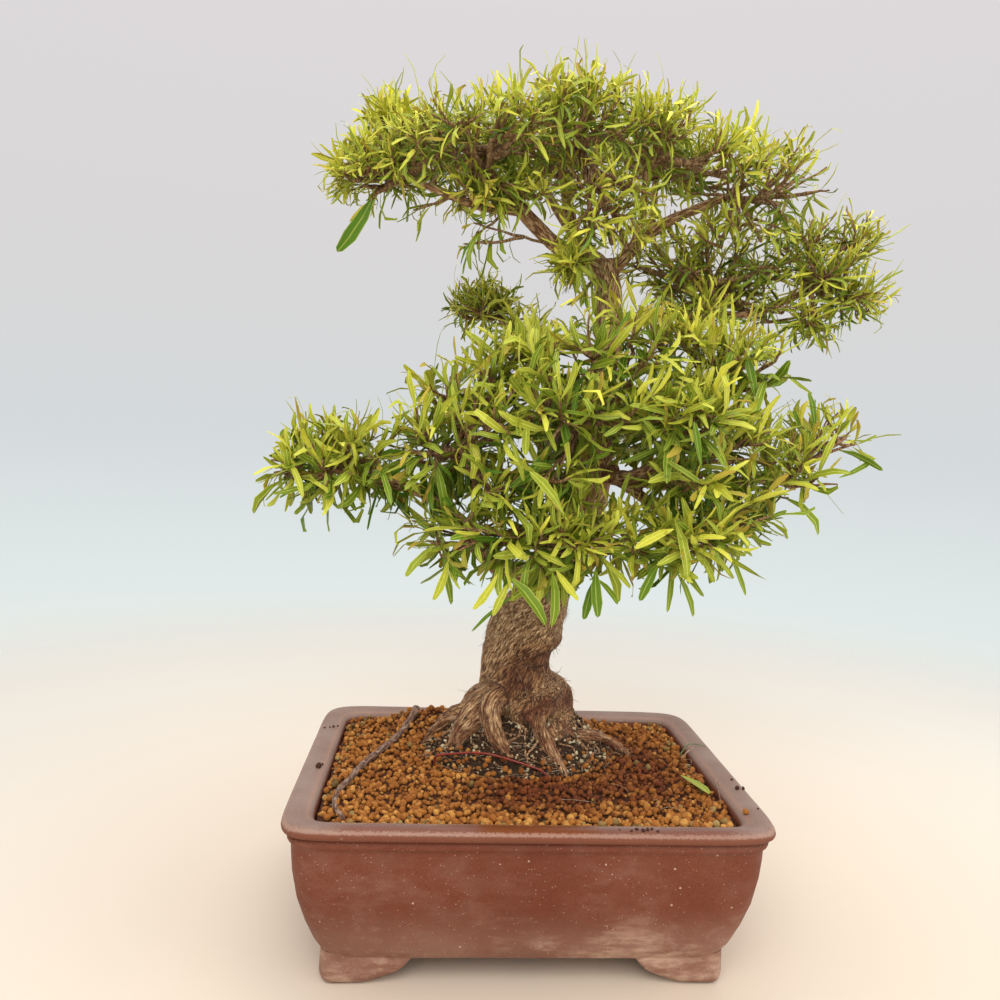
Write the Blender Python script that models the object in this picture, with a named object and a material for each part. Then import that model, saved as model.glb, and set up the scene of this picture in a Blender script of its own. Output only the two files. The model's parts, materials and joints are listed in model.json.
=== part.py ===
# Willow leaf fig bonsai, trained with foliage pads, in a rectangular pot of fired brown clay.
# Metres, +Z up. Everything is laid out round the pot's centre on the ground. The last step hangs it all
# from one empty, which carries the middle of the whole bounding box over the world origin.

import math
import random

import bmesh
import bpy
from mathutils import Matrix, Vector
from mathutils.bvhtree import BVHTree

# The pot
POT_WIDTH = 0.300
POT_DEPTH = 0.230
POT_HEIGHT = 0.1087
POT_CORNER = 13.8  # superellipse exponent of the outer plan, a rectangle with rounded corners
POT_INNER_CORNER = 22.0
POT_FLOOR = 0.025  # height of the inside floor
POT_UNDERSIDE = 0.016
DRAIN_RADIUS = 0.011
DRAIN_OFFSET = 0.062
FOOT_SPAN = (0.126, 0.091)  # half width and half depth over the feet
FOOT_FRONT = 0.056  # length of a foot along the front of the pot
FOOT_SIDE = 0.046
FOOT_THICKNESS = 0.014
FOOT_TOP = 0.021  # where a foot ends inside the pot's underside
FOOT_FLARE = 0.0012
FOOT_CORNER_CUT = 0.0029  # how much a foot's corner is rounded off each way

# Inset from the pot's full width and depth, then height, in millimetres: up the outside, down the inside
POT_OUTSIDE = [
    (29, 16), (23, 19.5), (18.5, 28), (13.5, 42), (9, 58), (6.4, 74), (5.4, 93), (2.8, 94.8), (2.8, 96.6),
    (4.6, 98), (1.0, 100.4), (0, 103.8), (1.8, 107.3), (5.5, 108.7),
]
POT_INSIDE = [(17.8, 108.7), (19.3, 106.5), (17.4, 86), (19.5, 58), (26, 38), (36, 25)]
FOOT_OUTLINE = [(0, 0), (21, 0), (42, 5.5), (50, 8.5), (56, 17.5)]  # along the front and up, in millimetres

# What lies in the pot
CLEARANCE = 0.0003
WALL_GAP = 0.0012  # from the bed's faceted edge to the pot's wall
SOIL_EDGE = 0.1015  # height of the bed at the rim
SOIL_MOUND = 0.0045  # how much higher it is round the root ball
SOIL_MOUND_REACH = (0.095, 0.075)
GRAIN_RELIEF = 0.0011
SOIL_CELLS = (18, 14)  # the top's grid of grains
ROOT_BALL_CENTRE = (0.002, 0.026)
ROOT_BALL_HALF = (0.070, 0.054)
ROOT_BALL_SIDES = 16
ROOT_BALL_BOTTOM = 0.085
ROOT_BALL_EDGE = 0.1045
ROOT_BALL_RISE = 0.030
SCREEN_SIZE = 0.042
SCREEN_THICKNESS = 0.001
SCREEN_HOLES = 2

# The tree
TRUNK_SIDES = 13
ROOT_SIDES = 6
BRANCH_SIDES = 5
FLUTES = 3
FLUTE_DEPTH = 0.055
FLUTE_TWIST = 26.0  # radians of turn for each metre of height
LEAF_LENGTH = (0.027, 0.041)
LEAF_WIDTH = (0.0048, 0.0064)
LEAF_THICKNESS = 0.0011
LEAF_ROOT_DEPTH = 0.007  # how far a leaf starts inside the pad's core
LEAVES_PER_SHOOT = 3
SHOOT_LEAN = 0.16  # spread of the shoots' directions
LEAF_SPREAD = (20, 46)  # degrees that a leaf leans away from its shoot
LEAF_DROOP = (0.02, 0.22)  # how far a leaf's tip hangs, as a share of its length
LEAF_ROLL = 0.9
SEED = 20

MM = 0.001

# Middle line of the trunk and its radius, from the root crown up to the fork, in millimetres
TRUNK = [
    (4, 27, 92, 20), (3, 27, 112, 27), (2, 27, 128, 31), (1, 26, 142, 29), (-1, 25, 156, 27),
    (-2, 24, 168, 25), (-2, 24, 178, 24.5), (1, 23, 190, 26), (6, 22, 204, 25.5), (13, 20, 220, 21.5),
    (18, 19, 235, 18.5), (26, 18, 254, 17), (37, 20, 279, 15.5), (44, 24, 301, 15), (49, 28, 331, 12.5),
    (51, 32, 367, 10.5), (54, 30, 404, 9.5), (54, 27, 427, 9), (52, 25, 446, 9.5), (45, 22, 466, 8),
]

# Roots that show above the soil: points in millimetres, then the radius at the first and last point.
# Each starts inside the trunk and its last point is under the soil.
ROOTS = {
    "coil_upper": ([(8, 40, 173), (19, 30, 168), (24, 16, 161), (20, 4, 154), (9, 0, 149), (-4, 4, 144)],
                   10, 11),
    "coil_lower": ([(18, 38, 157), (27, 24, 153), (29, 10, 146), (26, 1, 136), (25, -3, 121), (24, -4, 100)],
                   10, 8),
    "left": ([(-8, 16, 158), (-24, 10, 151), (-35, 7, 143), (-43, 8, 131), (-48, 10, 118), (-55, 11, 104),
              (-58, 10, 94)], 13, 4),
    "front_a": ([(-8, 12, 156), (-20, 0, 149), (-21, -7, 138), (-17, -9, 127), (-9, -11, 117),
                 (-3, -15, 107), (-1, -17, 96)], 9, 4),
    "front_b": ([(10, 10, 152), (13, -5, 145), (14, -9, 134), (19, -12, 124), (25, -15, 115),
                 (30, -19, 104), (32, -21, 94)], 8, 3.5),
    "right": ([(14, 14, 128), (28, 4, 127), (40, 6, 125), (52, 11, 122), (66, 17, 117), (80, 22, 108),
               (90, 25, 97)], 6, 2.4),
    "right_fork": ([(44, 8, 124), (56, 20, 121), (68, 32, 114), (74, 38, 101)], 3.6, 2.4),
    "left_thin": ([(-30, 16, 143), (-46, 22, 133), (-57, 30, 121), (-66, 38, 106), (-69, 41, 97)], 7, 2.4),
    "back_left": ([(-8, 38, 150), (-26, 52, 138), (-37, 62, 122), (-44, 69, 104), (-46, 72, 94)], 11, 4),
    "back": ([(4, 38, 150), (8, 56, 140), (12, 67, 124), (14, 75, 106), (15, 78, 95)], 12, 4),
    "back_right": ([(14, 34, 152), (32, 46, 140), (44, 55, 124), (53, 62, 106), (56, 65, 95)], 12, 4),
}

# Branches: points in millimetres, then the radius at the first and last point. A branch starts inside
# what it grows from and ends inside the foliage that it carries.
BRANCHES = {
    "top_left": ([(44, 22, 464), (31, 16, 467), (19, 12, 468), (7, 8, 474), (-4, 4, 482), (-15, 0, 491),
                  (-27, -4, 500), (-38, -9, 512)], 7, 4),
    "top_left_low": ([(-15, 0, 491), (-37, -8, 489), (-56, -12, 492), (-76, -14, 498), (-96, -12, 506)],
                     3.6, 2),
    "top_left_mid": ([(-27, -4, 500), (-50, 4, 511), (-68, 16, 522), (-76, 34, 532)], 3.4, 2),
    "crown": ([(42, 22, 462), (27, 26, 478), (20, 20, 498), (13, 2, 515), (10, -10, 525)], 6, 3),
    "crown_back": ([(23, 26, 486), (12, 42, 508), (4, 56, 530), (4, 64, 545)], 4, 2.4),
    "top_right": ([(48, 23, 452), (61, 22, 468), (78, 22, 486), (94, 20, 497), (112, 16, 505), (128, 10, 512)],
                  5.5, 3),
    "top_right_front": ([(66, 22, 472), (70, 8, 492), (68, -6, 510), (66, -14, 520)], 3.6, 2.4),
    "top_right_back": ([(78, 22, 486), (86, 44, 506), (90, 60, 528), (92, 66, 541)], 3.6, 2.4),
    "right": ([(53, 27, 423), (70, 32, 427), (88, 38, 430), (112, 45, 438), (132, 54, 450), (140, 62, 459)],
              6, 3),
    "right_out": ([(122, 48, 442), (146, 47, 436), (172, 42, 440), (196, 38, 452), (208, 36, 458)], 3.6, 2.4),
    "left_small": ([(53, 30, 402), (36, 46, 406), (20, 64, 411), (2, 78, 416), (-16, 90, 426), (-24, 94, 434)],
                   4, 2),
    "low_left": ([(19, 19, 236), (-4, 2, 240), (-24, -12, 250), (-42, -24, 268), (-56, -32, 285),
                  (-70, -38, 297), (-92, -40, 304), (-110, -40, 306), (-126, -38, 312)], 8, 3),
    "mid_left": ([(43, 24, 299), (21, 6, 302), (-2, -12, 306), (-20, -26, 311), (-40, -36, 318),
                  (-58, -44, 324)], 6, 3),
    "mid_front": ([(50, 29, 347), (38, 6, 354), (26, -18, 358), (16, -40, 357), (12, -52, 355)], 6, 3),
    "right_front": ([(46, 26, 318), (52, 6, 314), (61, -14, 312), (72, -34, 318), (82, -48, 330)], 7, 3.4),
    "right_low": ([(58, -8, 312), (72, -24, 301), (84, -38, 292), (90, -46, 287)], 4.4, 3),
    "right_far": ([(60, -12, 313), (86, -22, 310), (112, -26, 310), (140, -26, 314), (162, -26, 318)], 5, 3),
    "low_front": ([(30, 18, 264), (24, -2, 264), (16, -24, 266), (8, -44, 270)], 6, 3),
    "back": ([(50, 30, 345), (56, 56, 346), (60, 80, 349), (61, 98, 351)], 6, 3.4),
}

# Foliage pads: centre and half size out to the leaf tips in millimetres, and how many leafy shoots
PADS = {
    "leaves_top_left": ((-109, -8, 513), (52, 56, 42), 9),
    "leaves_top_left_front": ((-50, -22, 530), (50, 58, 48), 8),
    "leaves_top_left_back": ((-70, 50, 540), (56, 50, 42), 8),
    "leaves_crown_front": ((8, -30, 552), (50, 60, 56), 10),
    "leaves_crown_back": ((4, 66, 556), (54, 52, 44), 8),
    "leaves_top_right_front": ((66, -28, 536), (50, 58, 52), 9),
    "leaves_top_right": ((140, -2, 520), (62, 62, 48), 9),
    "leaves_top_right_back": ((92, 68, 550), (62, 52, 44), 8),
    "leaves_right": ((140, 66, 462), (56, 52, 40), 8),
    "leaves_right_out": ((214, 40, 466), (54, 52, 50), 8),
    "leaves_left_small": ((-31, 98, 440), (47, 40, 32), 7),
    "leaves_low_left": ((-137, -37, 320), (50, 46, 38), 8),
    "leaves_mid_left": ((-70, -50, 332), (54, 52, 50), 8),
    "leaves_mid_front": ((8, -66, 358), (52, 54, 54), 9),
    "leaves_low_front": ((4, -60, 276), (58, 52, 44), 8),
    "leaves_right_front": ((90, -62, 350), (52, 52, 52), 8),
    "leaves_right_low": ((98, -58, 278), (50, 50, 42), 8),
    "leaves_right_far": ((178, -24, 320), (62, 54, 62), 9),
    "leaves_back": ((60, 112, 352), (68, 48, 56), 9),
}
CORE_LOBES = 3  # lobes round the middle one of a pad's core
LOBE_OFFSET = 0.42  # from the pad's middle to a lobe's, as a share of the pad's half size
MIDDLE_LOBE = (0.44, 0.38)  # radius across and upwards, as shares of the pad's half size
SIDE_LOBE = (0.38, 0.32)
LOBE_ROUGHNESS = 0.16
LOBE_CORNERS = 12
PAD_TRIES = 16  # places tried for each leaf before it is left out

# The loose root lying on the soil, the anchor wire over the root ball and the fallen leaf
LOOSE_ROOT = [
    (-76, 86, 110), (-77, 76, 107), (-83, 60, 105.5), (-92, 37, 105), (-100, 16, 105), (-107, -2, 104.5),
    (-112, -20, 104.2), (-116, -38, 104), (-120, -53, 103.8), (-121, -67, 103.6), (-119, -80, 103.2),
    (-113, -89, 103),
]
LOOSE_ROOT_RADII = (0.0027, 0.0013)
WIRE = [
    (-60, -8, 88), (-60, -8, 106), (-57, -10, 111), (-46, -14, 114), (-33, -18, 116), (-20, -22, 117),
    (-8, -25, 116), (4, -28, 113.5), (12, -30, 110), (16, -31, 104), (17, -31, 88),
]
WIRE_RADIUS = 0.0008
FALLEN_LEAF = ((0.114, -0.012), (0.126, -0.039))


def clear_scene():
    for item in list(bpy.data.objects):
        bpy.data.objects.remove(item, do_unlink=True)


def finish(name, color, roughness):
    """A Principled material."""
    material = bpy.data.materials.new(name)
    material.use_nodes = True
    shader = material.node_tree.nodes["Principled BSDF"]
    shader.inputs["Base Color"].default_value = (*color, 1.0)
    shader.inputs["Roughness"].default_value = roughness
    shader.inputs["Metallic"].default_value = 0.0
    return material


def outward(points, faces):
    """Faces turned to point out of a closed body."""
    volume = 0.0
    for face in faces:
        first = points[face[0]]
        for second, third in zip(face[1:-1], face[2:]):
            volume += first.dot(points[second].cross(points[third]))
    return faces if volume > 0 else [face[::-1] for face in faces]


def add_object(name, shape, material=None, collection=None):
    points, faces = shape
    mesh = bpy.data.meshes.new(name)
    mesh.from_pydata([tuple(point) for point in points], [], faces)
    mesh.update()
    if material:
        mesh.materials.append(material)
    made = bpy.data.objects.new(name, mesh)
    (collection or bpy.context.scene.collection).objects.link(made)
    return made


def combine(target, operation, shapes, solver="EXACT"):
    """Join or cut all the shapes in one Boolean on a collection, apply it and remove the helpers."""
    group = bpy.data.collections.new("helpers")
    bpy.context.scene.collection.children.link(group)
    for number, shape in enumerate(shapes):
        helper = add_object(f"helper_{number}", shape, collection=group)
        helper.hide_render = True
        helper.display_type = "WIRE"
    modifier = target.modifiers.new("Combine", "BOOLEAN")
    modifier.operation = operation
    modifier.operand_type = "COLLECTION"
    modifier.collection = group
    modifier.solver = solver
    evaluated = target.evaluated_get(bpy.context.evaluated_depsgraph_get())
    result = bpy.data.meshes.new_from_object(evaluated)
    target.modifiers.clear()
    target.data = result
    for helper in list(group.objects):
        bpy.data.objects.remove(helper, do_unlink=True)
    bpy.data.collections.remove(group)


def keep_largest(target):
    """Drop loose scraps and the skins of sealed hollows: only the largest closed skin stays."""
    skin = bmesh.new()
    skin.from_mesh(target.data)
    unseen = set(skin.verts)
    islands = []
    while unseen:
        front = [unseen.pop()]
        island = set(front)
        while front:
            corner = front.pop()
            for edge in corner.link_edges:
                other = edge.other_vert(corner)
                if other in unseen:
                    unseen.remove(other)
                    island.add(other)
                    front.append(other)
        islands.append(island)
    islands.sort(key=len)
    for island in islands[:-1]:
        bmesh.ops.delete(skin, geom=list(island), context="VERTS")
    skin.to_mesh(target.data)
    skin.free()


def shape_of(target):
    mesh = target.data
    return [corner.co.copy() for corner in mesh.vertices], [tuple(face.vertices) for face in mesh.polygons]


def loft(rings, closed_start=True, closed_end=True):
    """Skin over rings with the same number of points each, cut into triangles alike in every size."""
    count = len(rings[0])
    points = [Vector(point) for ring in rings for point in ring]
    faces = []
    for level in range(len(rings) - 1):
        low = level * count
        high = low + count
        for step in range(count):
            after = (step + 1) % count
            faces.append((low + step, low + after, high + after))
            faces.append((low + step, high + after, high + step))
    if closed_start:
        faces.append(tuple(reversed(range(count))))
    if closed_end:
        faces.append(tuple(range(len(points) - count, len(points))))
    return points, faces


def tube(points, radii, sides, grow=0.0):
    """Round bar along the points, its section carried along without twist."""
    line = [Vector(point) for point in points]
    side = None
    rings = []
    for number, centre in enumerate(line):
        before = line[max(number - 1, 0)]
        after = line[min(number + 1, len(line) - 1)]
        along = (after - before).normalized()
        if side is None:
            side = along.orthogonal().normalized()
        side = (side - along * side.dot(along)).normalized()
        other = along.cross(side)
        radius = radii[number] + grow
        if grow and number in (0, len(line) - 1):
            centre = centre + along * (grow if number else -grow)
        ring = []
        for step in range(sides):
            angle = 2 * math.pi * step / sides
            ring.append(centre + radius * (math.cos(angle) * side + math.sin(angle) * other))
        rings.append(ring)
    points, faces = loft(rings)
    return points, outward(points, faces)


def smooth_line(points, steps):
    """Points in metres on a smooth curve through points in millimetres, steps to each stretch."""
    line = [Vector(point) * MM for point in points]
    result = []
    for number in range(len(line) - 1):
        before = line[max(number - 1, 0)]
        start, end = line[number], line[number + 1]
        after = line[min(number + 2, len(line) - 1)]
        for step in range(steps):
            t = step / steps
            result.append(
                0.5 * (2 * start + (end - before) * t + (2 * before - 5 * start + 4 * end - after) * t**2
                       + (3 * start - before - 3 * end + after) * t**3)
            )
    result.append(line[-1])
    return result


def tapered(points, first, last):
    count = len(points) - 1
    return [(first + (last - first) * number / count) * MM for number in range(count + 1)]


# The pot


def corner_scale(angle, exponent):
    """Distance from the centre to a unit superellipse at an angle."""
    return (abs(math.cos(angle)) ** exponent + abs(math.sin(angle)) ** exponent) ** (-1 / exponent)


def plan(half_x, half_y, exponent, height, steps=6):
    """One ring of the pot: a rounded rectangle, its points crowded towards the corners."""
    ring = []
    for quarter in range(4):
        for step in range(steps):
            spread = -1 + 2 * step / steps
            angle = math.radians(45 + 90 * quarter + 45 * math.copysign(abs(spread) ** 1.8, spread))
            reach = corner_scale(angle, exponent)
            ring.append((half_x * reach * math.cos(angle), half_y * reach * math.sin(angle), height))
    return ring


def foot(turn_x, turn_y):
    """L-shaped bracket foot under one corner, its ends cut in an ogee."""
    reach_x, reach_y = FOOT_SPAN
    shorter = MM * FOOT_SIDE / FOOT_FRONT
    stations = [(distance * shorter, rise * MM, "side") for distance, rise in FOOT_OUTLINE[:0:-1]]
    stations += [(0.0, 0.0, "corner")]
    stations += [(distance * MM, rise * MM, "front") for distance, rise in FOOT_OUTLINE[1:]]
    rings = []
    for distance, rise, where in stations:
        if where == "side":
            outer = Vector((reach_x, reach_y - distance, 0))
            inward = Vector((-1, 0, 0))
        elif where == "front":
            outer = Vector((reach_x - distance, reach_y, 0))
            inward = Vector((0, -1, 0))
        else:
            outer = Vector((reach_x - FOOT_CORNER_CUT, reach_y - FOOT_CORNER_CUT, 0))
            inward = Vector((-1, -1, 0))
        inner = outer + inward * FOOT_THICKNESS
        ring = [outer + Vector((0, 0, rise)), outer + inward * FOOT_FLARE + Vector((0, 0, FOOT_TOP)),
                inner + Vector((0, 0, FOOT_TOP)), inner + Vector((0, 0, rise))]
        rings.append([Vector((point.x * turn_x, point.y * turn_y, point.z)) for point in ring])
    points, faces = loft(rings)
    return points, outward(points, faces)


def cylinder(centre, radius, low, high, sides):
    rings = []
    for height in (low, high):
        rings.append([
            (centre[0] + radius * math.cos(2 * math.pi * step / sides),
             centre[1] + radius * math.sin(2 * math.pi * step / sides), height)
            for step in range(sides)
        ])
    return loft(rings)


def box(low, high):
    rings = [[(low[0], low[1], z), (high[0], low[1], z), (high[0], high[1], z), (low[0], high[1], z)]
             for z in (low[2], high[2])]
    return loft(rings)


def make_pot(material):
    rings = []
    for profile, exponent in ((POT_OUTSIDE, POT_CORNER), (POT_INSIDE, POT_INNER_CORNER)):
        for inset, height in profile:
            rings.append(plan(POT_WIDTH / 2 - inset * MM, POT_DEPTH / 2 - inset * MM, exponent, height * MM))
    pot = add_object("pot", loft(rings), material)
    feet = [foot(turn_x, turn_y) for turn_x in (-1, 1) for turn_y in (-1, 1)]
    combine(pot, "UNION", feet)
    drains = [cylinder((side * DRAIN_OFFSET, 0), DRAIN_RADIUS, POT_UNDERSIDE - 0.01, POT_FLOOR + 0.01, 16)
              for side in (-1, 1)]
    combine(pot, "DIFFERENCE", drains)
    return pot


def make_screen(name, side, material):
    """Square of plastic mesh over a drainage hole."""
    low = POT_FLOOR + CLEARANCE
    half = SCREEN_SIZE / 2
    centre = side * DRAIN_OFFSET
    screen = add_object(name, box((centre - half, -half, low), (centre + half, half, low + SCREEN_THICKNESS)),
                        material)
    pitch = SCREEN_SIZE / (SCREEN_HOLES + 0.25)
    opening = pitch * 0.7
    cutters = []
    for column in range(SCREEN_HOLES):
        for row in range(SCREEN_HOLES):
            x = centre + (column - (SCREEN_HOLES - 1) / 2) * pitch
            y = (row - (SCREEN_HOLES - 1) / 2) * pitch
            cutters.append(box((x - opening / 2, y - opening / 2, low - 0.002),
                               (x + opening / 2, y + opening / 2, low + 0.003)))
    combine(screen, "DIFFERENCE", cutters)
    return screen


# The tree's wood


def trunk_shape(grow):
    """The trunk as a stack of fluted rings, whose flutes wind round it."""
    line = [Vector(row[:3]) * MM for row in TRUNK]
    rings = []
    for number, centre in enumerate(line):
        along = (line[min(number + 1, len(line) - 1)] - line[max(number - 1, 0)]).normalized()
        side = (Vector((1, 0, 0)) - along * along.x).normalized()
        other = along.cross(side)
        radius = TRUNK[number][3] * MM
        if grow and number in (0, len(line) - 1):
            centre = centre + along * (grow if number else -grow)
        ring = []
        for step in range(TRUNK_SIDES):
            angle = 2 * math.pi * step / TRUNK_SIDES
            flute = 1 + FLUTE_DEPTH * math.cos(FLUTES * angle + FLUTE_TWIST * centre.z)
            ring.append(centre + (radius * flute + grow) * (math.cos(angle) * side + math.sin(angle) * other))
        rings.append(ring)
    return loft(rings)


def wood_shapes(grow=0.0):
    """Trunk first, then every root and branch as its own tapered bar."""
    shapes = [trunk_shape(grow)]
    for points, first, last in ROOTS.values():
        line = smooth_line(points, 1)
        shapes.append(tube(line, tapered(line, first, last), ROOT_SIDES, grow))
    for points, first, last in BRANCHES.values():
        line = smooth_line(points, 1)
        shapes.append(tube(line, tapered(line, first, last), BRANCH_SIDES, grow))
    return shapes


def make_wood(material):
    shapes = wood_shapes()
    wood = add_object("trunk_and_branches", shapes[0], material)
    combine(wood, "UNION", shapes[1:], "MANIFOLD")
    keep_largest(wood)
    return wood


def wood_clearance():
    """The wood a clearance larger all over, as one shape, to cut its place in what it grows through."""
    shapes = wood_shapes(CLEARANCE)
    grown = add_object("clearance", shapes[0])
    combine(grown, "UNION", shapes[1:], "MANIFOLD")
    keep_largest(grown)
    shape = shape_of(grown)
    bpy.data.objects.remove(grown, do_unlink=True)
    return shape


# Soil and root ball


def root_ball_ring(fraction, height, grow=0.0):
    ring = []
    for step in range(ROOT_BALL_SIDES):
        angle = 2 * math.pi * step / ROOT_BALL_SIDES
        ring.append((ROOT_BALL_CENTRE[0] + (ROOT_BALL_HALF[0] * fraction + grow) * math.cos(angle),
                     ROOT_BALL_CENTRE[1] + (ROOT_BALL_HALF[1] * fraction + grow) * math.sin(angle), height))
    return ring


def make_root_ball(material, cutters):
    """Dark potting soil held by the roots: a plug in the bed, mounded up to the trunk."""
    draw = random.Random(SEED + 1)
    rings = [root_ball_ring(0.97, ROOT_BALL_BOTTOM), root_ball_ring(1.0, ROOT_BALL_BOTTOM + 0.004),
             root_ball_ring(1.0, ROOT_BALL_EDGE)]
    for fraction in (0.8, 0.5):
        height = ROOT_BALL_EDGE + ROOT_BALL_RISE * (1 - fraction**2)
        rings.append([(x, y, z + draw.uniform(-GRAIN_RELIEF, GRAIN_RELIEF) * 1.3)
                      for x, y, z in root_ball_ring(fraction, height)])
    ball = add_object("root_ball", loft(rings), material)
    combine(ball, "DIFFERENCE", cutters)
    keep_largest(ball)
    return ball


def soil_height(x, y):
    """Height of the granule bed without its grain: level at the rim, higher round the root ball."""
    away = ((x - ROOT_BALL_CENTRE[0]) / SOIL_MOUND_REACH[0]) ** 2
    away += ((y - ROOT_BALL_CENTRE[1]) / SOIL_MOUND_REACH[1]) ** 2
    return SOIL_EDGE + SOIL_MOUND * math.exp(-away**2)


def bed_half(inset):
    """Half width and half depth of the bed where the pot's inside has this inset in millimetres."""
    return POT_WIDTH / 2 - inset * MM - WALL_GAP, POT_DEPTH / 2 - inset * MM - WALL_GAP


def soil_corner(column, row):
    """Place of a grid corner as a share of the bed's half sizes, the square's edge laid on the outline."""
    u = -1 + 2 * column / SOIL_CELLS[0]
    v = -1 + 2 * row / SOIL_CELLS[1]
    angle = math.atan2(v, u)
    stretch = corner_scale(angle, POT_INNER_CORNER) * max(abs(math.cos(angle)), abs(math.sin(angle)))
    return u * stretch, v * stretch


def soil_edge_corners():
    across, deep = SOIL_CELLS
    bottom = [(column, 0) for column in range(across)]
    right = [(across, row) for row in range(deep)]
    top = [(column, deep) for column in range(across, 0, -1)]
    left = [(0, row) for row in range(deep, 0, -1)]
    return bottom + right + top + left


def make_soil(material, cutters):
    """Bed of fired clay granules that fills the pot, its top raised in grains."""
    draw = random.Random(SEED + 2)
    across, deep = SOIL_CELLS
    half_x, half_y = bed_half(POT_INSIDE[1][0])
    points = []
    index = {}
    for row in range(deep + 1):
        for column in range(across + 1):
            u, v = soil_corner(column, row)
            x, y = u * half_x, v * half_y
            on_edge = row in (0, deep) or column in (0, across)
            grain = 0.0 if on_edge else draw.uniform(-GRAIN_RELIEF, GRAIN_RELIEF)
            index[column, row] = len(points)
            points.append(Vector((x, y, soil_height(x, y) + grain)))
    faces = []
    for row in range(deep):
        for column in range(across):
            a, b = index[column, row], index[column + 1, row]
            c, d = index[column + 1, row + 1], index[column, row + 1]
            if (column + row) % 2:
                faces += [(a, b, c), (a, c, d)]
            else:
                faces += [(a, b, d), (b, c, d)]
    edge = soil_edge_corners()
    upper = [index[corner] for corner in edge]
    for inset, height in POT_INSIDE[-2:]:
        half_x, half_y = bed_half(inset)
        lower = []
        for corner in edge:
            u, v = soil_corner(*corner)
            lower.append(len(points))
            points.append(Vector((u * half_x, v * half_y, height * MM + CLEARANCE)))
        for step in range(len(edge)):
            after = (step + 1) % len(edge)
            faces.append((lower[step], lower[after], upper[after], upper[step]))
        upper = lower
    faces.append(tuple(reversed(upper)))
    soil = add_object("granule_bed", (points, outward(points, faces)), material)
    pit = loft([root_ball_ring(1.0, ROOT_BALL_BOTTOM - CLEARANCE, CLEARANCE * 1.3),
                root_ball_ring(1.0, ROOT_BALL_BOTTOM + 0.08, CLEARANCE * 1.3)])
    gap = SCREEN_SIZE / 2 + CLEARANCE
    recesses = []
    for side in (-1, 1):
        recesses.append(box((side * DRAIN_OFFSET - gap, -gap, POT_FLOOR - 0.002),
                            (side * DRAIN_OFFSET + gap, gap, POT_FLOOR + SCREEN_THICKNESS + CLEARANCE * 2)))
    combine(soil, "DIFFERENCE", [pit] + recesses)
    combine(soil, "DIFFERENCE", cutters)
    keep_largest(soil)
    return soil


# Small pieces on the soil


def loose_root_shape(grow=0.0):
    line = smooth_line(LOOSE_ROOT, 1)
    first, last = LOOSE_ROOT_RADII
    return tube(line, tapered(line, first / MM, last / MM), 6, grow)


def wire_shape(grow=0.0):
    line = smooth_line(WIRE, 1)
    return tube(line, [WIRE_RADIUS] * len(line), 6, grow)


def make_fallen_leaf(material, soil):
    """A leaf lying flat on the highest grains under it."""
    start, end = (Vector((*place, 0)) for place in FALLEN_LEAF)
    away = end - start
    points, faces = blade(start, away.normalized(), away.length, LEAF_WIDTH[1], 0.0, 0.0)
    bed = BVHTree.FromPolygons(*shape_of(soil))
    rest = 0.0
    for first in points:
        for second in points:
            for tenth in range(6):
                place = first.lerp(second, tenth / 10)
                grain = bed.ray_cast(Vector((place.x, place.y, POT_HEIGHT * 2)), Vector((0, 0, -1)))[0]
                rest = max(rest, grain.z - place.z)
    lift = Vector((0, 0, rest + CLEARANCE / 2))
    return add_object("fallen_leaf", ([point + lift for point in points], faces), material)


# Foliage


def blade(root, direction, length, width, droop, roll, grow=0.0):
    """Narrow leaf: a keeled blade, widest before its middle, pointed at both ends and bent down a little."""
    up = Vector((0, 0, 1))
    side = direction.cross(up)
    if side.length < 0.05:
        side = Vector((1, 0, 0))
    side = Matrix.Rotation(roll, 3, direction) @ side.normalized()
    below = direction.cross(side).normalized()
    widest = root + direction * length * 0.45
    half = width / 2 + grow
    points = [root - direction * grow,
              widest - side * half - below * grow,
              widest + side * half - below * grow,
              widest + below * (LEAF_THICKNESS + grow),
              root + direction * (length + grow) - up * droop * length]
    faces = [(0, 1, 2), (0, 2, 3), (0, 3, 1), (4, 2, 1), (4, 3, 2), (4, 1, 3)]
    return points, outward(points, faces)


def lobe(centre, radii, stretches, grow=0.0):
    """Rough faceted ball of a few corners, each stretched outwards by its own share."""
    ball = bmesh.new()
    bmesh.ops.create_icosphere(ball, subdivisions=1, radius=1.0)
    points = []
    for corner, stretch in zip(ball.verts, stretches):
        away = Vector([corner.co[axis] * (radii[axis] * stretch + grow) for axis in range(3)])
        points.append(centre + away)
    faces = [tuple(corner.index for corner in face.verts) for face in ball.faces]
    ball.free()
    return points, outward(points, faces)


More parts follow.
